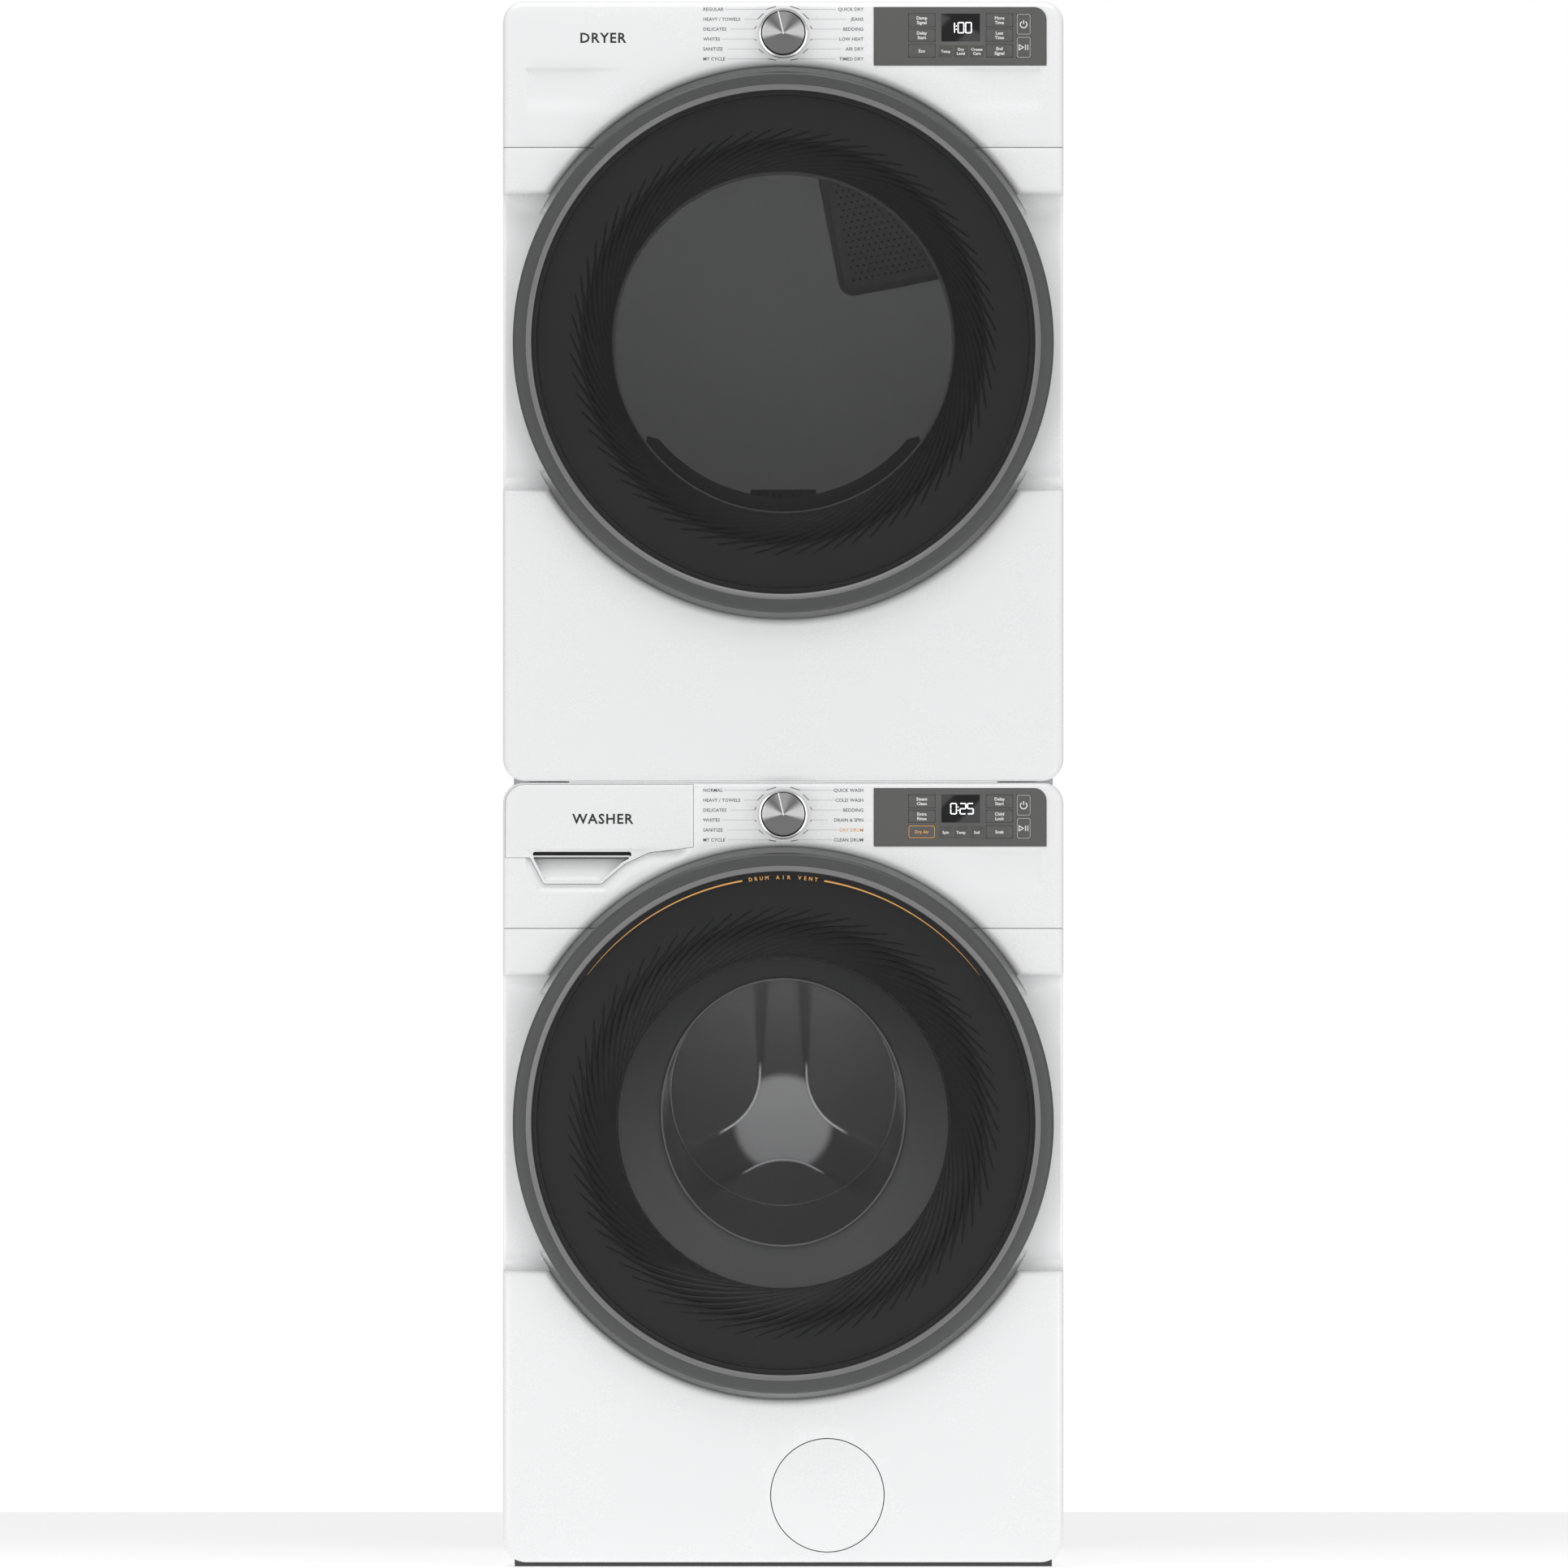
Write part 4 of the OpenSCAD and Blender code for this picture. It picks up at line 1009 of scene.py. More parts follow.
@dataclass
class FrontShell:
    """A machine's moulded front: lower panel and console, with the door's pocket and the waist."""

    site: Machine
    mouth: float
    floor: float = 34.0
    shell: float = 38.0
    edge: float = 8.0
    lip: float = 11.0
    pocket: float = 337.5
    pocket_wall: float = 0.6
    waist: float = 181.0
    waist_cove: float = 26.0
    waist_edge: float = 6.0
    seam_rise: float = 238.2
    seam_gap: float = 0.35
    scoop_depth: float = 3.2
    scoop_across: Point = (185.0, 318.0)
    scoop_down: Point = (80.5, 139.0)
    surround_depth: float = 6.0
    surround_across: Point = (-318.0, -120.0)
    surround_down: Point = (80.0, 136.0)
    dial_bore: float = 10.0
    has_drawer: bool = False
    pump: tuple[float, float, float] | None = None
    panel: list[Point] = field(default_factory=list)
    drawer: list[Point] = field(default_factory=list)

    def pocket_depth(self, radius: float) -> float:
        """Depth of the round pocket at a radius from the door's middle."""
        out = radius - self.pocket
        if out <= 0:
            return self.floor
        if out < self.pocket_wall:
            return self.floor + (self.lip - self.floor) * out / self.pocket_wall
        return rounded(out - self.pocket_wall, self.lip) if out < self.pocket_wall + self.lip else 0.0

    def waist_depth(self, rise: float) -> float:
        """Depth of the waist at a height above or below the door's middle."""
        inner = self.waist - self.waist_cove
        if rise <= inner:
            return self.floor
        if rise <= self.waist:
            cove = self.waist_cove
            return self.floor - cove + math.sqrt(max(0.0, cove**2 - (rise - inner) ** 2))
        return rounded(rise - self.waist, self.waist_edge) if rise < self.waist + self.waist_edge else 0.0

    def scoop(self, x: float, z: float) -> float:
        """Depth of the shallow hollows at the console's outer ends, and of the drawer's surround."""
        down = self.site.high - z
        if self.has_drawer and x < 0:
            (left, right), (top, foot) = self.surround_across, self.surround_down
            if not top < down < foot or not left < x < right:
                return 0.0
            near = 1 - ramp(distance(self.drawer, x, z), 15.0)
            along = ramp(foot - 0.5 - down, 5.0) * ramp(down - top, 3.0)
            return self.surround_depth * near * ramp(x - left - 1, 5.0) * along
        (inner, outer), (top, foot) = self.scoop_across, self.scoop_down
        across = ramp(outer - abs(x), 6.0) * ramp(abs(x) - inner, 75.0)
        return self.scoop_depth * across * ramp(down - top, 6.0) * ramp(foot - down, 24.0)

    def depth(self, x: float, z: float) -> float:
        """Depth of the moulded front behind the front plane."""
        rise = abs(z - self.site.centre)
        sunk = max(
            self.pocket_depth(math.hypot(x, z - self.site.centre)), self.waist_depth(rise), self.scoop(x, z)
        )
        soft = self.edge - (self.edge - 3.5) * min(1.0, sunk / self.floor)
        seam = abs(z - self.site.centre - self.seam_rise) - self.seam_gap
        made = sunk + rounded(self.site.inset(x, z), soft) + rounded(seam, 0.6)
        for hole in (self.panel, self.drawer):
            if hole and z > self.site.centre + self.seam_rise:
                made += rounded(distance(hole, x, z), 0.5)
        if self.pump:
            made += rounded(math.hypot(x - self.pump[0], z - self.pump[1]) - self.pump[2], 0.4)
        return min(made, self.shell - 0.2)

    def guide_lines(self) -> tuple[list[list[Point]], list[list[Point]], list[Point]]:
        """Loops, lines and spare points that the triangles keep to."""
        site, mid = self.site, self.site.centre
        loops = [site.outline(d) for d in (0.0, 0.3, 0.8, 1.6, 2.8, 4.4, 6.2, 8.0)]
        steps = [self.pocket + self.pocket_wall + s for s in (0, 0.3, 0.9, 2.0, 3.6, 5.8, 8.4, self.lip)]
        loops += [circle(0, mid, r, 240) for r in (self.mouth, 262, 312, self.pocket, *steps)]
        lines: list[list[Point]] = []
        inner = self.waist - self.waist_cove
        cove = [inner + self.waist_cove * math.sin(math.radians(a)) for a in range(0, 91, 10)]
        edge = [self.waist + s for s in (0.04, 0.3, 0.9, 2.0, 3.8, self.waist_edge)]
        for side in (-1, 1):
            for rise in (*cove, *edge):
                for sign in (-1, 1):
                    row = [(side * 262.0, mid + sign * rise), (side * site.half, mid + sign * rise)]
                    lines.append(split(row, 9.0, closed=False))
        seam = mid + self.seam_rise
        for off in (self.seam_gap, self.seam_gap + 0.2, self.seam_gap + 0.6):
            for sign in (-1, 1):
                row = [(-site.half, seam + sign * off), (site.half, seam + sign * off)]
                lines.append(split(row, 30.0, closed=False))
        dots = [
            (x, z)
            for x in range(-330, 331, 20)
            for z in range(int(site.low) + 10, int(site.high), 20)
            if math.hypot(x, z - mid) > self.pocket + self.lip
        ]
        dots += [
            (side * x, mid + sign * z)
            for side in (-1, 1) for sign in (-1, 1)
            for x in range(264, 312, 3) for z in range(160, 202, 3)
        ]
        return loops, lines, dots

    def moulded(self, part: str, node: str, face: Relief) -> None:
        """Gives a face its walls and makes the piece that stands for a node."""
        site = self.site
        blank = face.blank(site.front + self.shell, lambda x, z: site.inset(x, z) < 0.02)
        blank.piece(f"{site.name}_{part}", WHITE, "stack", [f"{site.name}_{node}"], 40, outward=False)

    def lower(self) -> None:
        """Moulds the lower panel."""
        site = self.site
        seam = site.centre + self.seam_rise - self.seam_gap
        loops, lines, dots = self.guide_lines()
        latch = [(305.0, -15.0), (321.0, -15.0), (321.0, 15.0), (305.0, 15.0)]
        slot = [(x, z + site.centre) for x, z in latch]
        loops.append(slot)
        if self.pump:
            px, pz, pr = self.pump
            loops += [circle(px, pz, pr + s, 120) for s in (0.0, 0.15, 0.4)]

        def inside(x: float, z: float) -> bool:
            """True on the lower panel."""
            away = math.hypot(x, z - site.centre)
            if z > seam or away < self.mouth or site.inset(x, z) <= 0 or contains(slot, x, z):
                return False
            return not self.pump or math.hypot(x - self.pump[0], z - self.pump[1]) > self.pump[2]

        face = Relief(site.front, self.depth, inside, loops, lines, [d for d in dots if d[1] < seam])
        self.moulded("lower_shell", "front_panel", face)

    def console(self) -> None:
        """Moulds the console above the seam."""
        site, bore = self.site, self.dial_bore
        seam = site.centre + self.seam_rise + self.seam_gap
        loops, lines, dots = self.guide_lines()
        holes = [h for h in (self.panel, self.drawer) if h]
        for hole in holes:
            loops += [split(grown(hole, s), 8.0) for s in (0.0, 0.2, 0.5)]
        loops.append(circle(0, site.dial_z, bore, 32))
        top = site.high
        for side in (-1, 1):
            for down in (80.5, 82, 83.5, 85, 86.5, 115, 119, 123, 127, 131, 135, 139):
                row = [(side * 180.0, top - down), (side * 322.0, top - down)]
                lines.append(split(row, 6.0, closed=False))
            for across in (312, 313.5, 315, 316.5, 318):
                column = [(side * across, top - 78.5), (side * across, top - 139)]
                lines.append(split(column, 6.0, closed=False))
        if self.has_drawer:
            dots += [(x, top - z) for x in range(-318, -150, 3) for z in range(80, 138, 3)]

        def inside(x: float, z: float) -> bool:
            """True on the console."""
            if z < seam or site.inset(x, z) <= 0 or math.hypot(x, z - site.dial_z) < bore:
                return False
            return not any(contains(h, x, z) for h in holes)

        face = Relief(site.front, self.depth, inside, loops, lines, [d for d in dots if d[1] > seam])
        self.moulded("console_shell", "console", face)


# --- Controls ---


class Symbol(Enum):
    """Pictures on the keys."""

    POWER = "power"
    START = "start"


@dataclass(frozen=True)
class KeyPrint:
    """What is printed on one key: its words or symbol, and whether it has a drawn frame."""

    node: str
    words: tuple[str, ...] = ()
    symbol: Symbol | None = None
    framed: bool = False
    amber: bool = False


@dataclass
class Controls:
    """A machine's grey key panel with keys, touch pads and display, and the dial's print."""

    site: Machine
    keys: list[KeyPrint]
    pads: tuple[str, str, str]
    clock: str
    clock_left: float
    left: tuple[str, ...]
    right: tuple[str, ...]
    badge: str
    amber_right: int = -1
    row_step: float = 12.15
    mark_radius: float = 34.2
    elbow_radius: float = 35.7
    names_edge: float = 98.2
    panel_sides: tuple[float, float, float, float] = (111.2, 321.8, 7.5, 78.0)
    pad_rows: tuple[float, float] = (53.75, 68.65)
    pad_columns: tuple[Point, ...] = ((190.5, 207.1), (208.7, 226.1), (228.0, 245.8))
    screen: tuple[float, float, float, float] = (193.4, 240.7, 15.0, 49.2)

    def panel_outline(self, gap: float) -> list[Point]:
        """The key panel's outline, counter-clockwise, grown by a gap."""
        left, right, top, low = self.panel_sides
        high = self.site.high
        corners = [(left - gap, high - low - gap, 0.0), (right + gap, high - low - gap, 0.0),
                   (right + gap, high - top + gap, 15.0 + gap), (left - gap, high - top + gap, 0.0)]
        return filleted(corners, 8)

    def build(self) -> None:
        """Prints and builds everything on the panel and round the dial."""
        self.key_prints()
        self.touch_pads()
        self.display()
        self.dial_print()
        self.badge_print()

    def key_prints(self) -> None:
        """Dresses each key's cap, and prints its words or symbol on it."""
        for key in self.keys:
            node = f"{self.site.name}_{key.node}"
            low, high = corners_of(node)
            y = low.y
            x0, x1, z0, z1 = low.x + 1.0, high.x - 1.0, low.z + 1.0, high.z - 1.0
            cap = Blank()
            cap.prism(round_cornered((x0, x1), (z0, z1), 1.6), y, y + 3.0, 0.35)
            cap.block((low.x + 0.1, high.x - 0.1), (y + 3.05, high.y), (low.z + 0.1, high.z - 0.1), 0.3)
            cap.piece(f"{node}_cap", KEYCAP, node, [node])
            ink = Blank()
            x, z = (x0 + x1) / 2, (z0 + z1) / 2
            if key.symbol is Symbol.POWER:
                ink.ribbon(circle(x, z - 0.3, 4.1, 28, 125, 415), 1.15, y)
                ink.ribbon([(x, z + 0.3), (x, z + 5.0)], 1.15, y)
            elif key.symbol is Symbol.START:
                ink.ribbon([(x - 5.6, z - 3.1), (x - 0.2, z), (x - 5.6, z + 3.1)], 1.0, y, closed=True)
                for off in (2.2, 5.1):
                    ink.ribbon([(x + off, z - 3.3), (x + off, z + 3.3)], 1.05, y)
            else:
                lift = 2.8 * (len(key.words) - 1)
                for i, word in enumerate(key.words):
                    ink.word(word, x, z + lift - 5.6 * i, y, 3.8, "CENTER", 1.0, 0.03)
            ink.piece(f"{node}_print", AMBER_INK if key.amber else WHITE_INK, node)
            frame_line = Blank()
            rim = round_cornered((x0 + 0.5, x1 - 0.5), (z0 + 0.5, z1 - 0.5), 1.4)
            frame_line.ribbon(rim, 0.75 if key.framed else 0.45, y, 0.04, closed=True)
            shade = AMBER_INK if key.amber else FRAME_INK if key.framed else FAINT_INK
            frame_line.piece(f"{node}_outline", shade, node)

    def touch_pads(self) -> None:
        """Lays the three flat touch pads and prints them."""
        high, y = self.site.high, self.site.front - 1.0
        pads, ink = Blank(), Blank()
        top, low = (high - d for d in self.pad_rows)
        for word, (x0, x1) in zip(self.pads, self.pad_columns):
            pads.prism(round_cornered((x0, x1), (low, top), 0.8, 3), y - 0.08, y, 0.04)
            parts = word.split("\n")
            for i, part in enumerate(parts):
                z = (top + low) / 2 + 2.5 * (len(parts) - 1) - 5.0 * i
                ink.word(part, (x0 + x1) / 2, z, y - 0.08, 3.4, "CENTER", 1.0, 0.03)
        pads.piece(f"{self.site.name}_touch_pads", PAD, "stack")
        ink.piece(f"{self.site.name}_touch_pads_print", WHITE_INK, "stack")

    def display(self) -> None:
        """Sets the display's dark glass and its lit digits."""
        left, right, top, low = self.screen
        high, y = self.site.high, self.site.front - 0.6
        glass = Blank()
        outline = round_cornered((left, right), (high - low, high - top), 0.6, 3)
        glass.prism(outline, y - 0.3, y + 0.3, 0.1)
        glass.piece(f"{self.site.name}_display_glass", SCREEN, "stack")
        lit = Blank()
        x = self.clock_left
        z, tall, wide = high - 32.2, 6.3, 7.0
        bars = {"0": "abcdef", "1": "bc", "2": "abged", "5": "afgcd"}
        ends = {
            "a": ((0, 1), (1, 1)), "b": ((1, 1), (1, 0)), "c": ((1, 0), (1, -1)), "d": ((1, -1), (0, -1)),
            "e": ((0, -1), (0, 0)), "f": ((0, 0), (0, 1)), "g": ((0, 0), (1, 0)),
        }
        for letter in self.clock:
            if letter == ":":
                for rise in (2.0, -2.0):
                    lit.ribbon([(x, z + rise - 0.6), (x, z + rise + 0.6)], 1.2, y - 0.3, 0.08)
                x += 2.2
                continue
            width = 0.0 if letter == "1" else wide
            for bar in bars[letter]:
                (u0, v0), (u1, v1) = ends[bar]
                gap = 0.35
                ax, az = x + u0 * width, z + v0 * tall
                bx, bz = x + u1 * width, z + v1 * tall
                long = math.hypot(bx - ax, bz - az)
                ux, uz = (bx - ax) / long * gap, (bz - az) / long * gap
                lit.ribbon([(ax + ux, az + uz), (bx - ux, bz - uz)], 1.2, y - 0.3, 0.08)
            x += width + 2.2
        lit.piece(f"{self.site.name}_display_digits", DIGITS, "stack")

    def dial_print(self) -> None:
        """Prints the programmes' names, with a line from each to its mark by the dial."""
        site = self.site
        z0, y = site.dial_z, site.front
        words, lines, ticks, amber = Blank(), Blank(), Blank(), Blank()
        for sign, names in ((-1, self.left), (1, self.right)):
            for k, name in enumerate(names):
                rise = self.row_step * (2.5 - k) - 1.0
                z = z0 + rise
                angle = math.radians(75 - 30 * k)
                r = self.mark_radius
                mark = (sign * r * math.cos(angle), z0 + r * math.sin(angle))
                elbow = (sign * math.sqrt(max(self.elbow_radius**2 - rise**2, 18.0**2)), z)
                print_here = amber if sign > 0 and k == self.amber_right else words
                anchor = "LEFT" if sign < 0 else "RIGHT"
                print_here.word(name, sign * self.names_edge, z, y, 4.0, anchor, 1.02, 0.022)
                far = self.names_edge - 3.4 * len(name) - 3.0
                if far > abs(elbow[0]) + 2:
                    lines.ribbon([(sign * far, z), elbow], 0.5, y, 0.05)
                ticks.ribbon([elbow, mark], 0.95, y, 0.05)
        words.piece(f"{site.name}_programme_names", DARK_INK, "stack")
        lines.piece(f"{site.name}_programme_lines", PALE_INK, "stack")
        ticks.piece(f"{site.name}_programme_marks", DARK_INK, "stack")
        if self.amber_right >= 0:
            amber.piece(f"{site.name}_programme_amber", AMBER_INK, "stack")

    def badge_print(self) -> None:
        """Prints the machine's plain name at the left of the console."""
        carrier = "drawer" if self.site.name == "washer" else "stack"
        ink = Blank()
        ink.word(self.badge, -221.0, self.site.high - 44.5, self.site.front, 12.0, "CENTER", 1.12, 0.03)
        ink.piece(f"{self.site.name}_badge", BLACK_INK, carrier)


@dataclass
class Dial:
    """A programme dial: spun face, dark band, bright skirt and white pointer."""

    site: Machine
    grip: float = 27.5
    skirt: float = 30.8
    proud: float = 18.8
    lean: float = 13.0

    def build(self) -> None:
        """Turns the dial's pieces."""
        name, front = f"{self.site.name}_dial", self.site.front
        z = self.site.dial_z
        # The spun face's colour carries painted highlight wedges.
        spun = Finish(f"{name}_spun_metal", "dial_metal", (0.82, 0.82, 0.83), Grain.SPUN_FACE, rough=0.3,
                      metal=0.7, relief=0.15, pitch=0.25, drift=0.05, centre=(0.0, z))
        face = Blank()
        r = self.grip - 1.6
        face.turned([(0, front - self.proud + 1.3), (r - 2.0, front - self.proud + 0.15),
                     (r - 0.5, front - self.proud + 0.3), (r, front - self.proud + 1.0),
                     (r, front - self.proud + 2.2), (0, front - self.proud + 2.2)], 0, z, 128)
        face.piece(f"{name}_face", spun, name, [name])
        band = Blank()
        band.turned([(0, front - self.proud + 2.3), (r - 0.1, front - self.proud + 2.3),
                     (r + 0.5, front - self.proud + 1.6), (self.grip, front - self.proud + 2.6),
                     (self.grip, front - 5.0), (0, front - 5.0)], 0, z, 128)
        band.piece(f"{name}_band", BAND, name)
        skirt = Blank()
        s = self.skirt
        skirt.turned([(0, front - 4.9), (self.grip - 0.5, front - 4.9), (s - 1.2, front - 4.2),
                      (s - 0.3, front - 3.2), (s, front - 1.6), (s - 1.4, front - 0.6), (4.0, front - 0.6),
                      (4.0, front + 3.2), (6.5, front + 3.2), (6.5, front + 5.0), (0, front + 5.0)],
                     0, z, 128)
        skirt.piece(f"{name}_skirt", SKIRT, name)
        pointer = Blank()
        a = math.radians(90 + self.lean)
        base, tip = 1.5, self.grip - 0.6
        line = [(t * math.cos(a), z + t * math.sin(a)) for t in (-base, tip * 0.5, tip)]
        pointer.ribbon(line, 1.5, front - self.proud + 0.95, 0.9)
        pointer.piece(f"{name}_pointer", WHITE_INK, name)


# --- Doors ---


@dataclass
class Door:
    """A round door: graphite ring, grey chamfer, smoked cover, fluted liner and its glass."""

    site: Machine
    cone: float
    window: float
    ring: float = 331.0
    band: float = 315.4
    cover: float = 307.6
    cover_edge: float = -15.6
    cover_dome: float = 4.6
    proud: float = 22.0
    flutes: int = 68
    hinge: float = 316.0
    knuckle: float = 61.0

    @property
    def name(self) -> str:
        """Start of the names of the door's nodes, and its body's name."""
        return f"{self.site.name}_door"

    def build(self, swirl: Pattern, screws: Pattern) -> None:
        """Makes the whole door."""
        self.rim()
        self.chamfer()
        self.smoked_cover()
        self.liner(swirl, screws)

    def at(self, points: Iterable[Point]) -> list[Point]:
        """Profile points with their depth counted from the front plane."""
        return [(r, self.site.front + y) for r, y in points]

    def cover_y(self, radius: float) -> float:
        """Depth of the cover's outer face at a radius, counted from the front plane."""
        return self.cover_edge - self.cover_dome * (1 - (radius / self.cover) ** 2)

    def rim(self) -> None:
        """Turns the ring, with its hinge knuckles and latch tab."""
        r, z, front = self.ring, self.site.centre, self.site.front
        outer = filleted([
            (r, 25, 0), (r, -17.6, 3.2), (r - 3.0, -21.2, 3.0), (self.band, -self.proud, 1.0),
            (self.band, -16.8, 0), (r - 4, -14.5, 1.5), (r - 4, 25, 0),
        ])
        inner = [
            (308.4, -16.5), (308.4, -12), (302, -12), (302, 14), (306, 14), (306, -8), (312, -8),
            (312, -16.5),
        ]
        made = Blank()
        made.turned(self.at(outer), 0, z, 288)
        made.turned(self.at(inner), 0, z, 288)
        for side in (-1, 1):
            for low in (-15.0, 3.5):
                base = z + side * self.knuckle + low
                outline = round_cornered((-self.hinge - 4, -self.hinge + 10.5), (base, base + 11.5), 1.0)
                made.prism(outline, front - 9, front + 8.5, 1.0)
        made.block((309.2, 314.8), (front - 14, front + 42), (z - 10, z + 10), 1.4)
        made.piece(f"{self.name}_ring", RING, self.name, [f"{self.name}_frame"], 38)

    def chamfer(self) -> None:
        """Turns the lighter chamfer between ring and cover."""
        made = Blank()
        made.turned(self.at(filleted([
            (self.band, -self.proud + 0.05, 0.5), (self.cover + 0.9, -18.4, 0.7),
            (self.cover + 0.9, -15.9, 0), (self.band, -17.0, 0),
        ], 3)), 0, self.site.centre, 288)
        made.piece(f"{self.name}_chamfer", TRIM, self.name, angle=50)

    def smoked_cover(self) -> None:
        """Turns the domed smoked cover."""
        thick, count = 3.4, 14
        radii = [self.cover * i / count for i in range(count + 1)]
        dome = [(r, self.cover_y(r)) for r in radii]
        back = [(r, y + thick) for r, y in reversed(dome)]
        made = Blank()
        made.turned(self.at([*dome, *back]), 0, self.site.centre, 256)
        made.piece(f"{self.name}_smoked_cover", SMOKED, self.name, [f"{self.name}_cover"], 40)

    def liner(self, swirl: Pattern, screws: Pattern) -> None:
        """Turns the dark liner, lays its flutes and sets its screws."""
        made = Blank()
        c, w = self.cone, self.window
        made.turned(self.at(filleted([
            (301.4, -6, 0), (c, -6, 6), (w, 9, 1.5), (w, 17, 1), (301.4, 17, 1.5), (301.4, 14.6, 0),
            (w + 6, 14.6, 0), (w + 6, 10, 0), (c + 1, -3.6, 4), (301.4, -3.6, 0),
        ])), 0, self.site.centre, 256)
        made.piece(f"{self.name}_liner_shell", LINER, self.name, [f"{self.name}_liner"])
        front = self.site.front
        swirl.grow(f"{self.name}_flutes", FLUTE, self.name, {
            "Count": self.flutes, "Inner Radius": (w + 2) * MM, "Outer Radius": (c + 9) * MM,
            "Inner Depth": (front + 7.4) * MM, "Outer Depth": (front - 7.0) * MM, "Sweep": -0.78,
            "Thickness": 0.0052, "Centre": (0.0, 0.0, self.site.centre * MM),
        })
        seats = [(x, front + 17.4, z) for x, z in circle(0, self.site.centre, 288, 12, 15, 375)]
        screws.grow(f"{self.name}_liner_screws", ZINC, self.name, {
            "Radius": 0.0042, "Height": 0.0012, "Facing": (-math.pi / 2, 0.0, 0.0),
        }, seats)


@dataclass
class WasherDoor(Door):
    """The washer's door, with its deep glass bowl and an amber line round the cover."""

    bowl: tuple[tuple[float, float, float, float], ...] = (
        (15.4, 12, 157, 171), (40, 20, 150, 161), (75, 29, 144, 152), (100, 36.5, 140.5, 143),
        (107, 38, 137, 139), (111, 38.5, 126, 128), (112.6, 38.5, 60, 60), (113, 38.5, 0.01, 0.01),
        (108, 38.5, 0.01, 0.01), (107.6, 38.5, 60, 60), (106, 38.5, 122, 124), (102, 37.5, 132.5, 134.5),
        (96, 35.5, 136, 138.5), (70, 27.5, 140.5, 147.5), (36, 18.5, 146, 157), (13, 13.4, 149, 163),
    )
    flange: tuple[tuple[float, float, float, float], ...] = (
        (10, 0, 202.2, 202.2), (10.2, 3, 193, 193), (10.8, 6, 174, 178), (12.2, 8, 164, 173.5),
        (13.4, 12.6, 152, 166), (14.8, 12.6, 150.5, 164.5), (15.2, 12.2, 157, 171), (14, 6, 178, 182),
        (14, 0, 202.2, 202.2),
    )
    edge_bead: float = 1.25
    amber_radius: float = 300.6
    amber_from: float = 37.0
    amber_gap: float = 9.6

    def build(self, swirl: Pattern, screws: Pattern) -> None:
        """Makes the whole door."""
        super().build(swirl, screws)
        self.glass_bowl()
        self.amber_line()

    def oval(self, rows: Iterable[tuple[float, float, float, float]], steps: int = 128) -> Blank:
        """Lofts closed oval rings, each given by its depth, its rise and its two radii."""
        front, centre = self.site.front, self.site.centre
        turns = [math.tau * k / steps for k in range(steps)]
        made = Blank()
        made.loft([
            [(rx * math.cos(a), front + depth, centre + rise + rz * math.sin(a)) for a in turns]
            for depth, rise, rx, rz in rows
        ], closed=True)
        return made

    def glass_bowl(self) -> None:
        """Lofts the bowl, its flange and the painted highlight beads on the edges of its mouth and its
        domed end.
        """
        name = self.name
        self.oval(self.bowl).piece(f"{name}_glass_bowl", GLASS, name, [f"{name}_bowl"], 50)
        self.oval(self.flange).piece(f"{name}_bowl_flange", FLANGE, name, angle=40)
        turns = [math.tau * k / 6 for k in range(6)]
        bead = [(self.edge_bead * math.cos(t), self.edge_bead * math.sin(t)) for t in turns]
        # Painted highlight beads along the bowl's edges.
        for part, finish, (depth, rise, rx, rz) in (
            ("mouth", MOUTH_HIGHLIGHT, (12.4, 12.8, 149.0, 163.4)),
            ("end", END_HIGHLIGHT, (103.5, 37.6, 138.6, 140.2)),
        ):
            edge = self.oval([(depth + v, rise, rx + u, rz + u) for u, v in bead])
            edge.piece(f"{name}_bowl_{part}_edge", finish, name, angle=80)

    def amber_line(self) -> None:
        """Prints the thin amber line, tapering to its ends, and the words in its gap."""
        made = Blank()
        front, z = self.site.front, self.site.centre
        r = self.amber_radius
        y = front + self.cover_y(r)
        for side in (-1, 1):
            arc = circle(0, z, r, 60, 90 - side * self.amber_gap, 90 - side * (90 - self.amber_from))
            widths = [0.25 + 1.75 * (1 - i / 60) ** 0.8 for i in range(61)]
            made.ribbon(arc, widths, y, 0.07)
        letters = "DRUM AIR VENT"
        for i, letter in enumerate(letters):
            turn = (len(letters) / 2 - 0.5 - i) * 1.28
            if letter != " ":
                a = math.radians(90 + turn)
                made.word(letter, (r + 0.3) * math.cos(a), z + (r + 0.3) * math.sin(a), y, 4.4, "CENTER",
                          turn=turn, weight=0.035)
        made.piece(f"{self.name}_amber_line", AMBER_INK, self.name)


@dataclass
class DryerDoor(Door):
    """The dryer's door, with its shallow dished window."""

    def build(self, swirl: Pattern, screws: Pattern) -> None:
        """Makes the whole door."""
        super().build(swirl, screws)
        r = self.window - 0.3
        made = Blank()
        made.turned(self.at(filleted([
            (0, 19, 0), (r - 22, 17, 8), (r - 12, 11, 5), (r, 11, 0.8), (r, 14.4, 0.8), (r - 11, 14.4, 5),
            (r - 21, 20.4, 8), (0, 22.4, 0),
        ])), 0, self.site.centre, 192)
        made.piece(f"{self.name}_dished_window", GLASS, self.name, [f"{self.name}_window"], 50)


# --- Washer ---


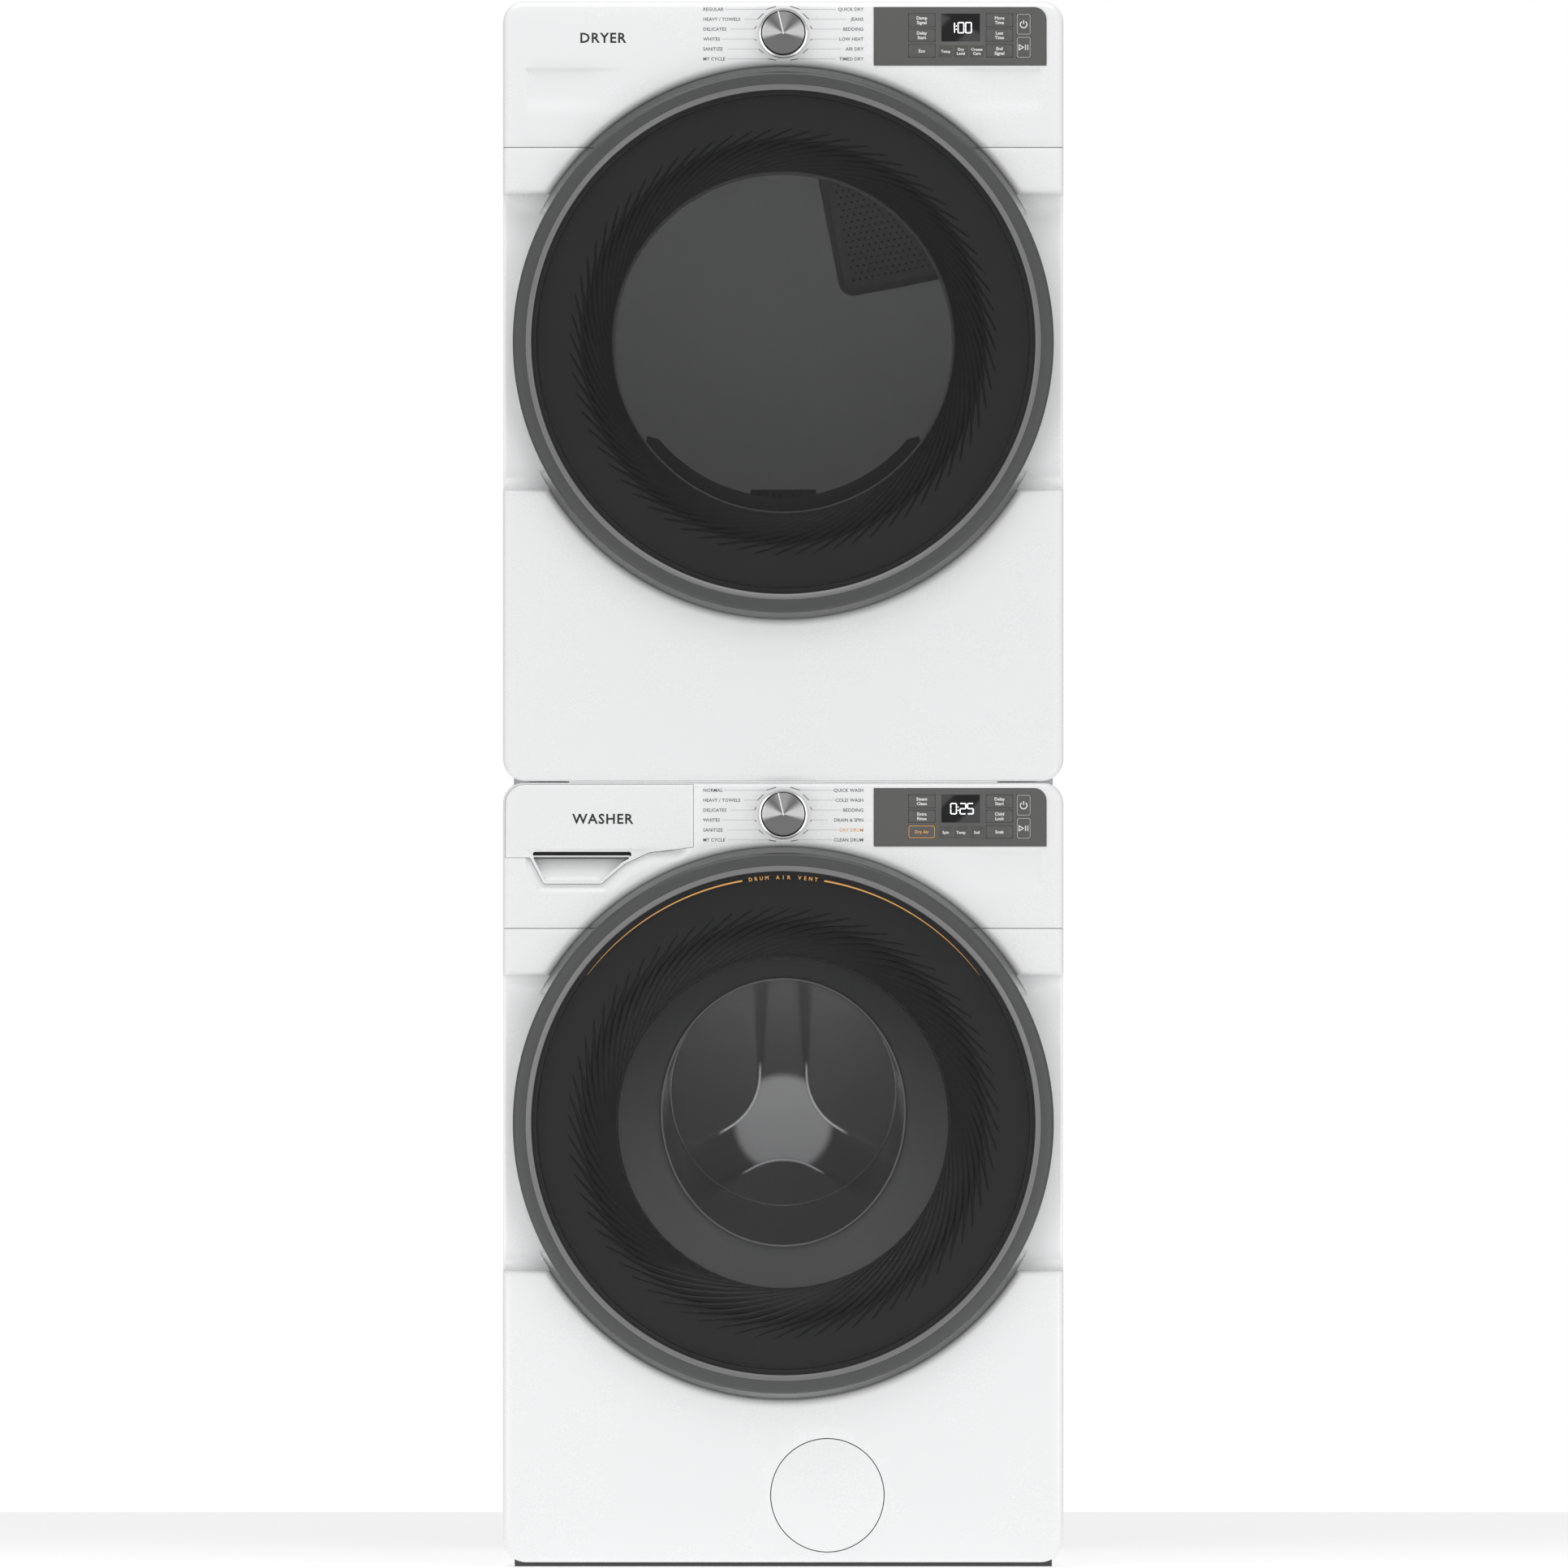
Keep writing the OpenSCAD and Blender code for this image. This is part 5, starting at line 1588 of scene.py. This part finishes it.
@dataclass
class Drawer:
    """The detergent drawer: its moulded front with a finger scoop, and the tray behind it."""

    site: Machine
    gap: float = 0.35
    tray_x: Point = (-300.0, -122.0)
    tray_down: Point = (18.0, 72.0)
    tray_back: float = 266.0
    wells: tuple[Point, ...] = ((-298.0, -238.0), (-235.0, -182.0), (-179.0, -124.0))

    def outline(self, gap: float) -> list[Point]:
        """The drawer front's outline, counter-clockwise, drawn in by a gap."""
        top, wall = self.site.high, 2.4
        corners = [
            (-109.8, top - wall, 0.0), (-self.site.half + wall, top - wall, 23.6),
            (-self.site.half + wall, top - 92.5, 0.0), (-310, top - 92.5, 2.0), (-293.4, top - 124.5, 4.0),
            (-222.6, top - 124.5, 5.0), (-193.8, top - 100, 8.0), (-164, top - 86.1, 20.0),
            (-109.8, top - 79.7, 0.0),
        ]
        return grown(filleted(corners), -gap)

    def scoop(self, inset: float) -> list[Point]:
        """Outline of the sloping finger scoop, counter-clockwise, drawn in by an inset."""
        top = self.site.high
        corners = [(-306.5, top - 91.6, 1.0), (-291.5, top - 121.6, 3.0), (-224.6, top - 121.6, 3.0),
                   (-197, top - 98, 5.0), (-186, top - 91.6, 1.0)]
        return grown(filleted(corners, 3), -inset)

    def slot(self) -> list[Point]:
        """Outline of the dark slot above the scoop, counter-clockwise."""
        top = self.site.high
        return round_cornered((-306.5, -186.0), (top - 91.4, top - 85.0), 2.8, 4)

    def depth(self, x: float, z: float) -> float:
        """Depth of the drawer's front behind the front plane."""
        site = self.site
        down = site.high - z
        made = rounded(site.inset(x, z), 8.0) + rounded(distance(self.outline(self.gap), x, z), 0.5)
        made += 2.6 * ramp(down - 81.0, 3.0) * ramp(x + 318, 8.0) * (1 - ramp(x + 178, 40.0))
        scoop = self.scoop(0.0)
        if contains(scoop, x, z):
            slope = (121.6 - down) / 30.0
            made += ramp(distance(scoop, x, z), 0.9) * (1.0 + 14.0 * max(0.0, slope))
        return made

    def build(self) -> None:
        """Moulds the front and the tray, and lines the grip's slot with a dark piece that paints its shade.
        """
        site = self.site
        rim, slot = self.outline(self.gap), self.slot()
        loops = [split(self.outline(self.gap + s), 8.0) for s in (0.0, 0.2, 0.5)] + [slot]
        loops += [split(self.scoop(s), 6.0) for s in (0.0, 0.45, 0.9)]
        loops += [site.outline(d) for d in (2.9, 4.4, 6.2, 8.0)]
        top = site.high
        rows = [[(-340.0, top - down), (-130.0, top - down)] for down in (81.0, 82.5, 84.0)]
        lines = [split(row, 8.0, closed=False) for row in rows]
        dots = [(x, top - d) for x in range(-336, -108, 12) for d in range(6, 124, 12)]

        def inside(x: float, z: float) -> bool:
            """True on the drawer's front."""
            return contains(rim, x, z) and not contains(slot, x, z)

        face = Relief(site.front, self.depth, inside, loops, lines, dots)
        blank = face.blank(thick=2.2)
        blank.piece("drawer_front_moulding", WHITE, "drawer", ["detergent_drawer"], 40, outward=False)
        self.tray()
        # A dark liner inside the grip's slot: painted shade.
        well = Blank()
        y0 = site.front + 2.9
        well.prism(grown(slot, 2.0), y0 + 15.0, y0 + 17.0)
        layers = ((0.1, y0 - 0.2), (0.1, y0 + 15), (2, y0 + 15), (2, y0 + 3))
        well.loft([[(x, y, z) for x, z in grown(slot, by)] for by, y in layers])
        well.piece("drawer_grip_shade_liner", MOTOR, "drawer")

    def tray(self) -> None:
        """Forms the tray with its three wells, a rim and a siphon cap."""
        site = self.site
        top, low = (site.high - d for d in self.tray_down)
        y0, y1, t = site.front + 3.2, site.front + self.tray_back, 1.8
        made = Blank()
        x0, x1 = self.tray_x
        made.block((x0, x1), (y0, y1), (low, low + 2.0), 0.6)
        made.block((x0, x1), (y0, y0 + 3), (low, top), 0.6)
        made.block((x0, x1), (y1 - 2, y1), (low, top), 0.6)
        for x in (x0, *(w[1] + 0.2 for w in self.wells)):
            made.block((x, x + t), (y0 + 2, y1 - 1), (low, top), 0.5)
        made.block((x0 - 3, x0 + 1), (y0 + 6, y1), (top - 4, top), 0.7)
        made.block((x1 - 1, x1 + 3), (y0 + 6, y1), (top - 4, top), 0.7)
        middle = self.wells[1]
        cx = sum(middle) / 2
        made.block((middle[0] + 4, middle[1] - 4), (y1 - 60, y1 - 8), (low + 1.5, low + 34), 3.0)
        made.prism(circle(cx, low + 22, 10, 24), y1 - 70, y1 - 60, 1.0)
        made.piece("drawer_tray", TUB, "drawer")


@dataclass
class Washer:
    """The washer's gasket, drum, star plate, pump cover and dark base rail, which also paints the shadow
    line under its front.
    """

    site: Machine
    drum: float = 272.0
    arm: float = 29.0
    fillet: float = 78.0
    star_out: float = 262.0
    relief: float = 4.4

    @property
    def drum_z(self) -> float:
        """Height of the drum's axis, which is that of its pulley."""
        low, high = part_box("drum_pulley")
        return (low.z + high.z) / 2 / MM

    def build(self, holes: Pattern) -> None:
        """Makes the washer's pieces."""
        self.gasket()
        self.wash_drum(holes)
        self.star_plate()
        self.pump_cap()
        self.shadow_base_rail()

    def gasket(self) -> None:
        """Turns the door's rubber bellows."""
        made = Blank()
        made.turned([(r, self.site.front + y) for r, y in filleted([
            (184, 38, 0.8), (206, 38, 1), (206, 43, 1), (193, 44, 3), (193, 56, 4), (204, 65, 3),
            (204, 75, 3), (195.6, 82, 3), (195.6, 101, 1), (187, 101, 1), (187, 83, 3), (197, 74, 2.5),
            (197, 67, 2.5), (188, 58, 4), (188, 42, 1), (184, 42, 0.8),
        ], 4)], 0, self.site.centre, 160)
        made.piece("door_gasket_bellows", RUBBER, "stack", ["door_gasket"], 50)

    def wash_drum(self, holes: Pattern) -> None:
        """Turns the drum and marks the holes in its wall and lip as dark discs, painted shade inside the
        holes.
        """
        r, z = self.drum, self.drum_z
        made = Blank()
        made.turned(filleted([
            (0, 188, 0), (r - 2, 188, 14), (r - 2, -184, 0), (r - 4, -188, 3), (r - 4, -196, 3),
            (r - 2, -200, 0), (r - 2, -257.5, 8), (206, -257.5, 0), (206, -260, 0.8), (r, -260, 8),
            (r, 192, 10), (15, 192, 0), (15, 262, 0.5), (0, 262, 0),
        ], 4), 0, z, 192)
        steel = turned_steel("brushed_drum_steel", 0, z, 0.75)
        made.piece("wash_drum_basket", steel, "wash_drum", ["wash_drum"])
        # Dark discs for the holes: painted shade.
        holes.grow("wash_drum_wall_holes", MOTOR, "wash_drum", {
            "Columns": 60, "Rows": 16, "Radius": (r - 2.2) * MM, "First": -0.24, "Step": 0.0255,
            "Hole": 0.0021, "Centre": (0.0, 0.0, z * MM),
        })

    def outside(self, x: float, z: float) -> float:
        """Distance outside the three-armed star, negative on it."""
        arms = [math.radians(a) for a in (90, 210, 330)]
        best = max(arms, key=lambda a: x * math.cos(a) + z * math.sin(a))
        ux, uz = math.cos(best), math.sin(best)
        along, across = x * ux + z * uz, x * uz - z * ux
        reach = (self.arm + self.fillet) / math.sin(math.radians(60))
        if along > reach / 2:
            return abs(across) - self.arm + 0.02 * (along - reach / 2)
        turn = best + math.radians(-60 if across > 0 else 60)
        return self.fillet - math.hypot(x - reach * math.cos(turn), z - reach * math.sin(turn))

    def star_plate(self) -> None:
        """Presses the star into the plate at the back of the drum."""
        made, steps = Blank(), 300
        radii = [0.01, *range(4, 40, 3), *range(40, 128, 2), *range(128, int(self.star_out) + 1, 6)]
        z0, back = self.drum_z, 187.9
        rings = []
        for r in radii:
            ring = []
            for k in range(steps):
                a = math.tau * k / steps
                x, z = r * math.cos(a), r * math.sin(a)
                wide = 6.0 + 0.16 * max(0.0, r - 72.0)
                lift = self.relief * (1 - ramp(self.outside(x, z) + wide / 2, wide))
                ring.append((x, back - 0.3 - lift * (1 - ramp(r - self.star_out + 42, 40.0)), z0 + z))
            rings.append(ring)
        made.loft([*rings, [(p[0], back, p[2]) for p in rings[-1]]])
        # The plate's colour carries its painted sheen, bend highlights and darker arms.
        plate = Finish("pressed_star_plate", "stainless", (0.058, 0.058, 0.059), Grain.STAR, rough=0.5,
                       metal=0.12, relief=0.02, pitch=0.6, drift=0.05, centre=(0.0, z0),
                       levels=(back - 0.3 - self.relief, back - 0.3))
        made.piece("wash_drum_star_plate", plate, "wash_drum", angle=60)

    def pump_cap(self) -> None:
        """Turns the round pump cover."""
        low, high = corners_of("pump_cover")
        r = (high.x - low.x) / 2
        y = low.y
        made = Blank()
        made.turned(filleted([
            (0, y, 0), (r, y, 0.8), (r, y + 2.4, 0.3), (r - 8, y + 2.4, 0), (r - 8, y + 9, 0.5),
            (r - 10, y + 9, 0.5), (r - 10, y + 2.4, 0), (0, y + 2.4, 0),
        ]), (low.x + high.x) / 2, (low.z + high.z) / 2, 128)
        made.piece("pump_cover_cap", WHITE, "pump_cover", ["pump_cover"])

    def shadow_base_rail(self) -> None:
        """Forms the dark rail that closes the gap under the front, set back from it; its dark also paints
        the shadow line under the front.
        """
        made, half, y = Blank(), self.site.half - 14.0, self.site.front + 16.0
        made.block((-half, half), (y, y + 3.0), (0.8, self.site.low + 5.0), 0.5)
        made.block((-half, half), (y + 3.0, y + 14.0), (self.site.low + 2.0, self.site.low + 5.0), 0.5)
        made.piece("washer_base_rail_shadow_strip", MOTOR, "stack")


# --- Dryer ---


@dataclass
class Dryer:
    """The dryer's drum, rear disc with its air inlet, and lint well."""

    site: Machine
    drum: float = 318.0
    plate_corner: Point = (73.0, 67.5)
    plate_size: Point = (205.0, 190.0)
    plate_turn: float = 11.0
    hole_pitch: float = 8.0
    hole_margin: float = 17.0

    def build(self, dots: Pattern, ribs: Pattern) -> None:
        """Makes the dryer's pieces."""
        self.tumble_drum()
        self.rear_disc()
        self.air_inlet(dots)
        self.lint_grille(ribs)
        self.lint_lip()

    def tumble_drum(self) -> None:
        """Turns the drum with its two stiffening beads."""
        r, y0 = self.drum, self.site.front + 98
        made = Blank()
        made.turned([
            (r - 2, y0), (r, y0), (r, -60), (r + 3, -54), (r + 3, -46), (r, -40), (r, 60), (r + 3, 66),
            (r + 3, 74), (r, 80), (r, 297), (r - 2, 297), (r - 2, 81), (r + 1, 74), (r + 1, 66),
            (r - 2, 59), (r - 2, -39), (r + 1, -46), (r + 1, -54), (r - 2, -61),
        ], 0, self.site.centre, 192)
        steel = Finish("tumble_drum_steel", "galvanised", (0.42, 0.42, 0.425), Grain.TURNED, rough=0.4,
                       metal=0.6, relief=0.08, pitch=0.7, drift=0.06, centre=(0.0, self.site.centre))
        made.piece("dryer_drum_barrel", steel, "dryer_drum", ["dryer_drum"])

    def rear_disc(self) -> None:
        """Turns the fixed rear disc with its seat ring."""
        made = Blank()
        made.turned(filleted([
            (0, 300, 0), (150, 299.2, 10), (296, 300, 4), (308, 300, 2), (308, 272, 1), (312, 272, 1),
            (312, 300, 1), (330, 300, 0.5), (330, 303, 0.5), (0, 303, 0),
        ]), 0, self.site.centre, 192)
        z = self.site.centre
        made.block((40, 260), (303, 362), (z + 40, z + 250), 4.0)
        made.piece("dryer_rear_disc", PAINTED_BULKHEAD, "stack", ["rear_bulkhead"])

    def air_inlet(self, dots: Pattern) -> None:
        """Forms the tilted inlet plate with rounded corners, and its rows of holes as dark discs, painted
        shade inside the holes.
        """
        z, (cx, cz), (w, h) = self.site.centre, self.plate_corner, self.plate_size
        a = math.radians(self.plate_turn)

        def placed(u: float, v: float) -> Point:
            """A point of the plate in the front view."""
            return cx + u * math.cos(a) - v * math.sin(a), z + cz + u * math.sin(a) + v * math.cos(a)

        for name, inset, y0, y1, finish in (
            ("frame", 0.0, 294.5, 299.6, INLET_FRAME), ("field", 7.0, 293.6, 294.6, INLET_FIELD),
        ):
            made = Blank()
            corners = [(inset, inset), (w - inset, inset), (w - inset, h - inset), (inset, h - inset)]
            outline = split(filleted([(*placed(u, v), 18.0 - inset) for u, v in corners], 8), 8.0)
            made.prism([self.within(x, pz, 299.0 - inset) for x, pz in outline], y0, y1, 1.0)
            made.piece(f"air_inlet_{name}", finish, "stack")
        pitch, margin = self.hole_pitch, self.hole_margin
        seeds = []
        for i in range(int((w - 2 * margin) / pitch)):
            for k in range(int((h - 2 * margin) / pitch)):
                u, v = margin + 2 + i * pitch + (k % 2) * pitch / 2, margin + 2 + k * pitch
                x, pz = placed(u, v)
                if math.hypot(x, pz - z) < 286:
                    seeds.append((x, 293.5, pz))
        # Dark discs for the holes: painted shade.
        dots.grow("air_inlet_holes", BLACK_RUBBER, "stack", {"Hole": 0.0016}, seeds)

    def within(self, x: float, z: float, reach: float) -> Point:
        """The point, or the nearest one to it no farther than reach from the drum's axis."""
        away = math.hypot(x, z - self.site.centre)
        share = min(1.0, reach / away)
        return x * share, self.site.centre + (z - self.site.centre) * share

    def lint_grille(self, ribs: Pattern) -> None:
        """Sets a row of ribs over the lint well's slot."""
        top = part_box("lint_screen")[1].z / MM
        front = self.site.front
        seeds = [(x, front + 50.5, top - 14.0) for x in range(-96, 97, 8)]
        ribs.grow("lint_well_ribs", LINER, "stack", {"Reach": (0.0, 0.0, 0.010), "Width": 0.0012}, seeds)

    def lint_lip(self) -> None:
        """Forms the dark crescent in front of the lint well, along the foot of the mouth."""
        z, front = self.site.centre, self.site.front
        upper = circle(0, z + 9.4, 200.0, 48, 220, 320)
        ends = [(166.0, z - 116.0), (168.0, z - 128.0)]
        lower = circle(0, z, 211.0, 48, 322.5, 217.5)
        outline = [*upper, *ends, *lower, *((-x, pz) for x, pz in reversed(ends))]
        made = Blank()
        made.prism(outline, front + 45.0, front + 49.0, 1.2)
        made.piece("lint_well_lip", LIP, "stack")


# --- Frame nodes that keep their shape ---


@dataclass(frozen=True)
class Kept:
    """A frame node that is copied, merged and shaded smoothly, with its edges broken."""

    node: str
    finish: Finish
    edge: float = 0.0
    crease: float = 32.0
    body: str = "stack"

    def build(self) -> None:
        """Makes the piece that stands for the node."""
        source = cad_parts[self.node].data
        mesh = bmesh.new()
        mesh.from_mesh(source)
        bmesh.ops.remove_doubles(mesh, verts=mesh.verts, dist=2e-5)
        if self.edge:
            bmesh.ops.dissolve_limit(
                mesh, angle_limit=math.radians(0.6), verts=mesh.verts, edges=mesh.edges
            )
        data = bpy.data.meshes.new(self.node)
        mesh.to_mesh(data)
        mesh.free()
        made = dressed(data, f"{self.node}_finished", self.finish, self.body, [self.node], self.crease)
        if self.edge:
            softener = made.modifiers.new("broken_edges", "BEVEL")
            softener.width = self.edge * MM
            softener.segments = 2
            softener.limit_method = "ANGLE"
            softener.angle_limit = math.radians(50)
            softener.harden_normals = False


def kept_nodes(drum_z: float) -> list[Kept]:
    """Frame nodes that keep their shape, with their finishes; drum_z is the drum's axis."""
    return [
        Kept("washer_cabinet", ENAMEL),
        Kept("dryer_cabinet", ENAMEL),
        Kept("washer_back_panel", GALVANISED, crease=0.5),
        Kept("dryer_back_panel", GALVANISED, crease=0.5),
        Kept("control_panels", PANEL),
        Kept("drawer_housing", TUB),
        Kept("door_hinges", ZINC),
        Kept("outer_tub", TUB),
        Kept("counterweights", CONCRETE, 1.5),
        Kept("tub_suspension", ZINC),
        Kept("drive_motors", MOTOR),
        Kept("drive_belts", BLACK_RUBBER),
        Kept("drain_pump", TUB),
        Kept("inlet_valves", TUB),
        Kept("leveling_feet", BLACK_RUBBER),
        Kept("stacking_brackets", ZINC),
        Kept("front_bulkhead", PAINTED_BULKHEAD),
        Kept("exhaust_duct", GALVANISED),
        Kept("drum_lifters", TUB, 3.0, body="wash_drum"),
        Kept("drum_pulley", turned_steel("cast_drum_pulley", 0, drum_z), body="wash_drum"),
        Kept("motor_pulley", ZINC, body="washer_rotor"),
        Kept("dryer_vanes", TUB, 3.0, body="dryer_drum"),
        Kept("blower_wheel", MOTOR, body="dryer_rotor"),
        Kept("lint_screen", MOTOR, body="lint_screen"),
    ]


@dataclass
class Rear:
    """Screws and pressed ribs on the rear panels."""

    washer: Machine
    dryer: Machine
    edge: float = 8.0
    hoods_rise: float = 697.5
    beads_aside: float = 205.0

    def build(self, screws: Pattern, ribs: Pattern) -> None:
        """Sets the screws and presses the ribs."""
        seats = []
        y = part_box("dryer_cabinet")[1].y / MM + 2.0
        for site in (self.washer, self.dryer):
            low, high = corners_of(f"{site.name}_back_panel")
            for x in (low.x + self.edge, high.x - self.edge):
                seats += [(x, y, low.z + 12 + k * (high.z - low.z - 24) / 6) for k in range(7)]
            for z in (low.z + self.edge, high.z - self.edge):
                seats += [(low.x + 110 + k * 138, y, z) for k in range(4)]
        screws.grow("rear_panel_screws", ZINC, "stack", {
            "Radius": 0.0055, "Height": 0.0028, "Facing": (-math.pi / 2, 0.0, 0.0),
        }, seats)
        lines = [(-250.0, y, self.dryer.low + self.hoods_rise + 14 * k) for k in range(8)]
        hood = {"Reach": (0.12, 0.0, 0.0), "Width": 0.0022}
        ribs.grow("rear_louvre_hoods", GALVANISED, "stack", hood, lines)
        beads = [
            (side * self.beads_aside - 2, y - 0.4, site.low + 130)
            for side in (-1, 1) for site in (self.washer, self.dryer)
        ]
        bead = {"Reach": (0.0, 0.0, 0.24), "Width": 0.003}
        ribs.grow("rear_panel_beads", GALVANISED, "stack", bead, beads)


# --- Studio ---


@dataclass
class Studio:
    """Floor, soft lights and the camera, square on to the fronts."""

    front: float
    distance: float = 30.0
    view_width: float = 1.9194
    eye: float = 0.959
    aside: float = 0.0009
    ambient: float = 0.46

    def build(self) -> None:
        """Makes the whole set."""
        scene = bpy.context.scene
        scene.view_settings.view_transform = "Standard"
        self.floor()
        self.sky()
        for hand, side in (("left", -1), ("right", 1)):
            for part, place, aim, size, power in (
                ("front", (1.35, -4.0, 1.0), (0.2, 0.0, 1.0), (1.1, 2.6), 12.0),
                ("side", (3.2, -1.9, 1.3), (0.0, 0.0, 1.0), (1.6, 2.6), 17.0),
                ("low", (1.15, -1.9, 0.12), (0.25, 0.0, 1.5), (0.9, 0.5), 3.2),
            ):
                ends = [(side * x, y, z) for x, y, z in (place, aim)]
                self.softbox(f"{hand}_{part}_softbox", *ends, size, power)
        self.softbox("top_softbox", (0.0, -1.1, 3.4), (0.0, -0.5, 1.0), (2.6, 1.6), 30.0)
        self.camera()

    def drum_lamp(self, name: str, site: Machine, axis: float, place: Point, power: float) -> None:
        """Hangs a small lamp inside a drum, behind its front lip.

        Args:
            name: The lamp's name.
            site: The machine.
            axis: Height of the drum's axis.
            place: The lamp's place to the right of that axis and above it.
            power: Its power in watts.
        """
        x, z = place
        spot = (x * MM, (site.front + 140) * MM, (axis + z) * MM)
        self.softbox(name, spot, (0.0, 0.19, (axis - 20) * MM), (0.06, 0.06), power)

    def floor(self) -> None:
        """Lays the pale floor."""
        made = bmesh.new()
        bmesh.ops.create_grid(made, x_segments=1, y_segments=1, size=1.9)
        data = bpy.data.meshes.new("studio_floor")
        made.to_mesh(data)
        made.free()
        finish = bpy.data.materials.new("pale_floor")
        finish.use_nodes = True
        finish.node_tree.nodes.clear()
        graph = Graph(finish.node_tree)
        shader = graph.node("ShaderNodeBsdfPrincipled", {
            "Base Color": (0.62, 0.62, 0.62, 1.0), "Roughness": 0.9, "Specular IOR Level": 0.0,
            "Emission Color": (1.0, 1.0, 1.0, 1.0), "Emission Strength": 0.54,
        })
        graph.end("ShaderNodeOutputMaterial", "Surface", shader)
        data.materials.append(finish)
        floor = linked("studio_floor", data)

    def sky(self) -> None:
        """Sets a soft grey surround that shows as white behind the object."""
        world = bpy.data.worlds.new("studio")
        bpy.context.scene.world = world
        world.use_nodes = True
        world.node_tree.nodes.clear()
        graph = Graph(world.node_tree)
        ray = graph.node("ShaderNodeLightPath", output="Is Camera Ray")
        white = (1.0, 1.0, 1.0, 1.0)
        shown = graph.node("ShaderNodeBackground", {"Color": white, "Strength": 1.0})
        cast = graph.node("ShaderNodeBackground", {"Color": white, "Strength": self.ambient})
        both = graph.node("ShaderNodeMixShader", {0: ray, 1: cast, 2: shown})
        graph.end("ShaderNodeOutputWorld", "Surface", both)

    def softbox(self, name: str, place: Sequence[float], aim: Sequence[float], size: Point,
                power: float) -> None:
        """Hangs a soft light.

        Args:
            name: The light's name.
            place: Where it hangs, in metres.
            aim: The point that it faces.
            size: Its width and height.
            power: Its power in watts.
        """
        lamp = bpy.data.lights.new(name, "AREA")
        lamp.shape, lamp.energy = "RECTANGLE", power
        lamp.size, lamp.size_y = size
        made = linked(name, lamp)
        made.location = place
        made.rotation_euler = (Vector(aim) - Vector(place)).to_track_quat("-Z", "Y").to_euler()

    def camera(self) -> None:
        """Stands the camera far off with a long lens, level and square on."""
        lens = bpy.data.cameras.new("camera")
        lens.sensor_width = 36.0
        lens.lens = lens.sensor_width * self.distance / self.view_width
        lens.clip_end = 200.0
        made = linked("camera", lens)
        made.location = (self.aside, self.front * MM - self.distance, self.eye)
        made.rotation_euler = (math.pi / 2, 0.0, 0.0)
        bpy.context.scene.camera = made


# --- The stack ---


def printed_keys(labels: Sequence[str], amber: int = 0) -> list[KeyPrint]:
    """Prints of the numbered keys and of the two symbol keys.

    Args:
        labels: Words of the numbered keys, with a slash between lines.
        amber: Number of the key that is framed in amber, or 0 for none.

    Returns:
        The prints.
    """
    made = [
        KeyPrint(f"key_{i}", tuple(label.split("/")), framed=i == amber, amber=i == amber)
        for i, label in enumerate(labels, 1)
    ]
    symbols = (("power_key", Symbol.POWER), ("start_key", Symbol.START))
    return made + [KeyPrint(node, symbol=symbol, framed=True) for node, symbol in symbols]


WASHER_LABELS = ("Steam/Clean", "Extra/Rinse", "Dry Air", "Delay/Start", "Child/Lock", "Soak")
DRYER_LABELS = ("Damp/Signal", "Delay/Start", "Eco", "More/Time", "Less/Time", "End/Signal")


def main() -> None:
    """Builds the studio and both machines."""
    logging.basicConfig(level=logging.INFO, format="%(name)s: %(message)s")
    washer, dryer = Machine.found("washer"), Machine.found("dryer")
    behind = Washer(washer)
    studio = Studio(washer.front)
    studio.build()
    studio.drum_lamp("washer_drum_lamp", washer, behind.drum_z, (0.0, 244.0), 1.5)
    for hand, side in (("left", -1), ("right", 1)):
        studio.drum_lamp(f"dryer_drum_{hand}_lamp", dryer, dryer.centre, (side * 140.0, 205.0), 0.32)
    swirl, wall_holes, screws = flute_pattern(), wall_hole_pattern(), stud_pattern()
    dots, ribs = dot_pattern(), rib_pattern()

    drawer = Drawer(washer)
    washer_controls = Controls(
        washer, printed_keys(WASHER_LABELS, 3), ("Spin", "Temp", "Soil"), "0:25", 205.0,
        ("NORMAL", "HEAVY / TOWELS", "DELICATES", "WHITES", "SANITIZE", "MY CYCLE"),
        ("QUICK WASH", "COLD WASH", "BEDDING", "DRAIN & SPIN", "DRY DRUM", "CLEAN DRUM"),
        "WASHER", amber_right=4,
    )
    dryer_controls = Controls(
        dryer, printed_keys(DRYER_LABELS), ("Temp", "Dry\nLevel", "Crease\nCare"), "1:00", 209.6,
        ("REGULAR", "HEAVY / TOWELS", "DELICATES", "WHITES", "SANITIZE", "MY CYCLE"),
        ("QUICK DRY", "JEANS", "BEDDING", "LOW HEAT", "AIR DRY", "TIMED DRY"),
        "DRYER",
    )
    low, high = corners_of("pump_cover")
    cap = ((low.x + high.x) / 2, (low.z + high.z) / 2, (high.x - low.x) / 2 + PUMP_GAP)
    shells = (
        FrontShell(washer, 190.0, has_drawer=True, pump=cap, panel=washer_controls.panel_outline(0.3),
                   drawer=drawer.outline(0.0)),
        FrontShell(dryer, 211.5, panel=dryer_controls.panel_outline(0.3)),
    )
    for shell in shells:
        shell.lower()
        shell.console()
    drawer.build()
    for controls in (washer_controls, dryer_controls):
        controls.build()
        Dial(controls.site).build()
    WasherDoor(washer, cone=255.0, window=203.0).build(swirl, screws)
    DryerDoor(dryer, cone=252.0, window=209.0).build(swirl, screws)
    behind.build(wall_holes)
    Dryer(dryer).build(dots, ribs)
    for kept in kept_nodes(behind.drum_z):
        kept.build()
    Rear(washer, dryer).build(screws, ribs)


if __name__ == "__main__":
    main()
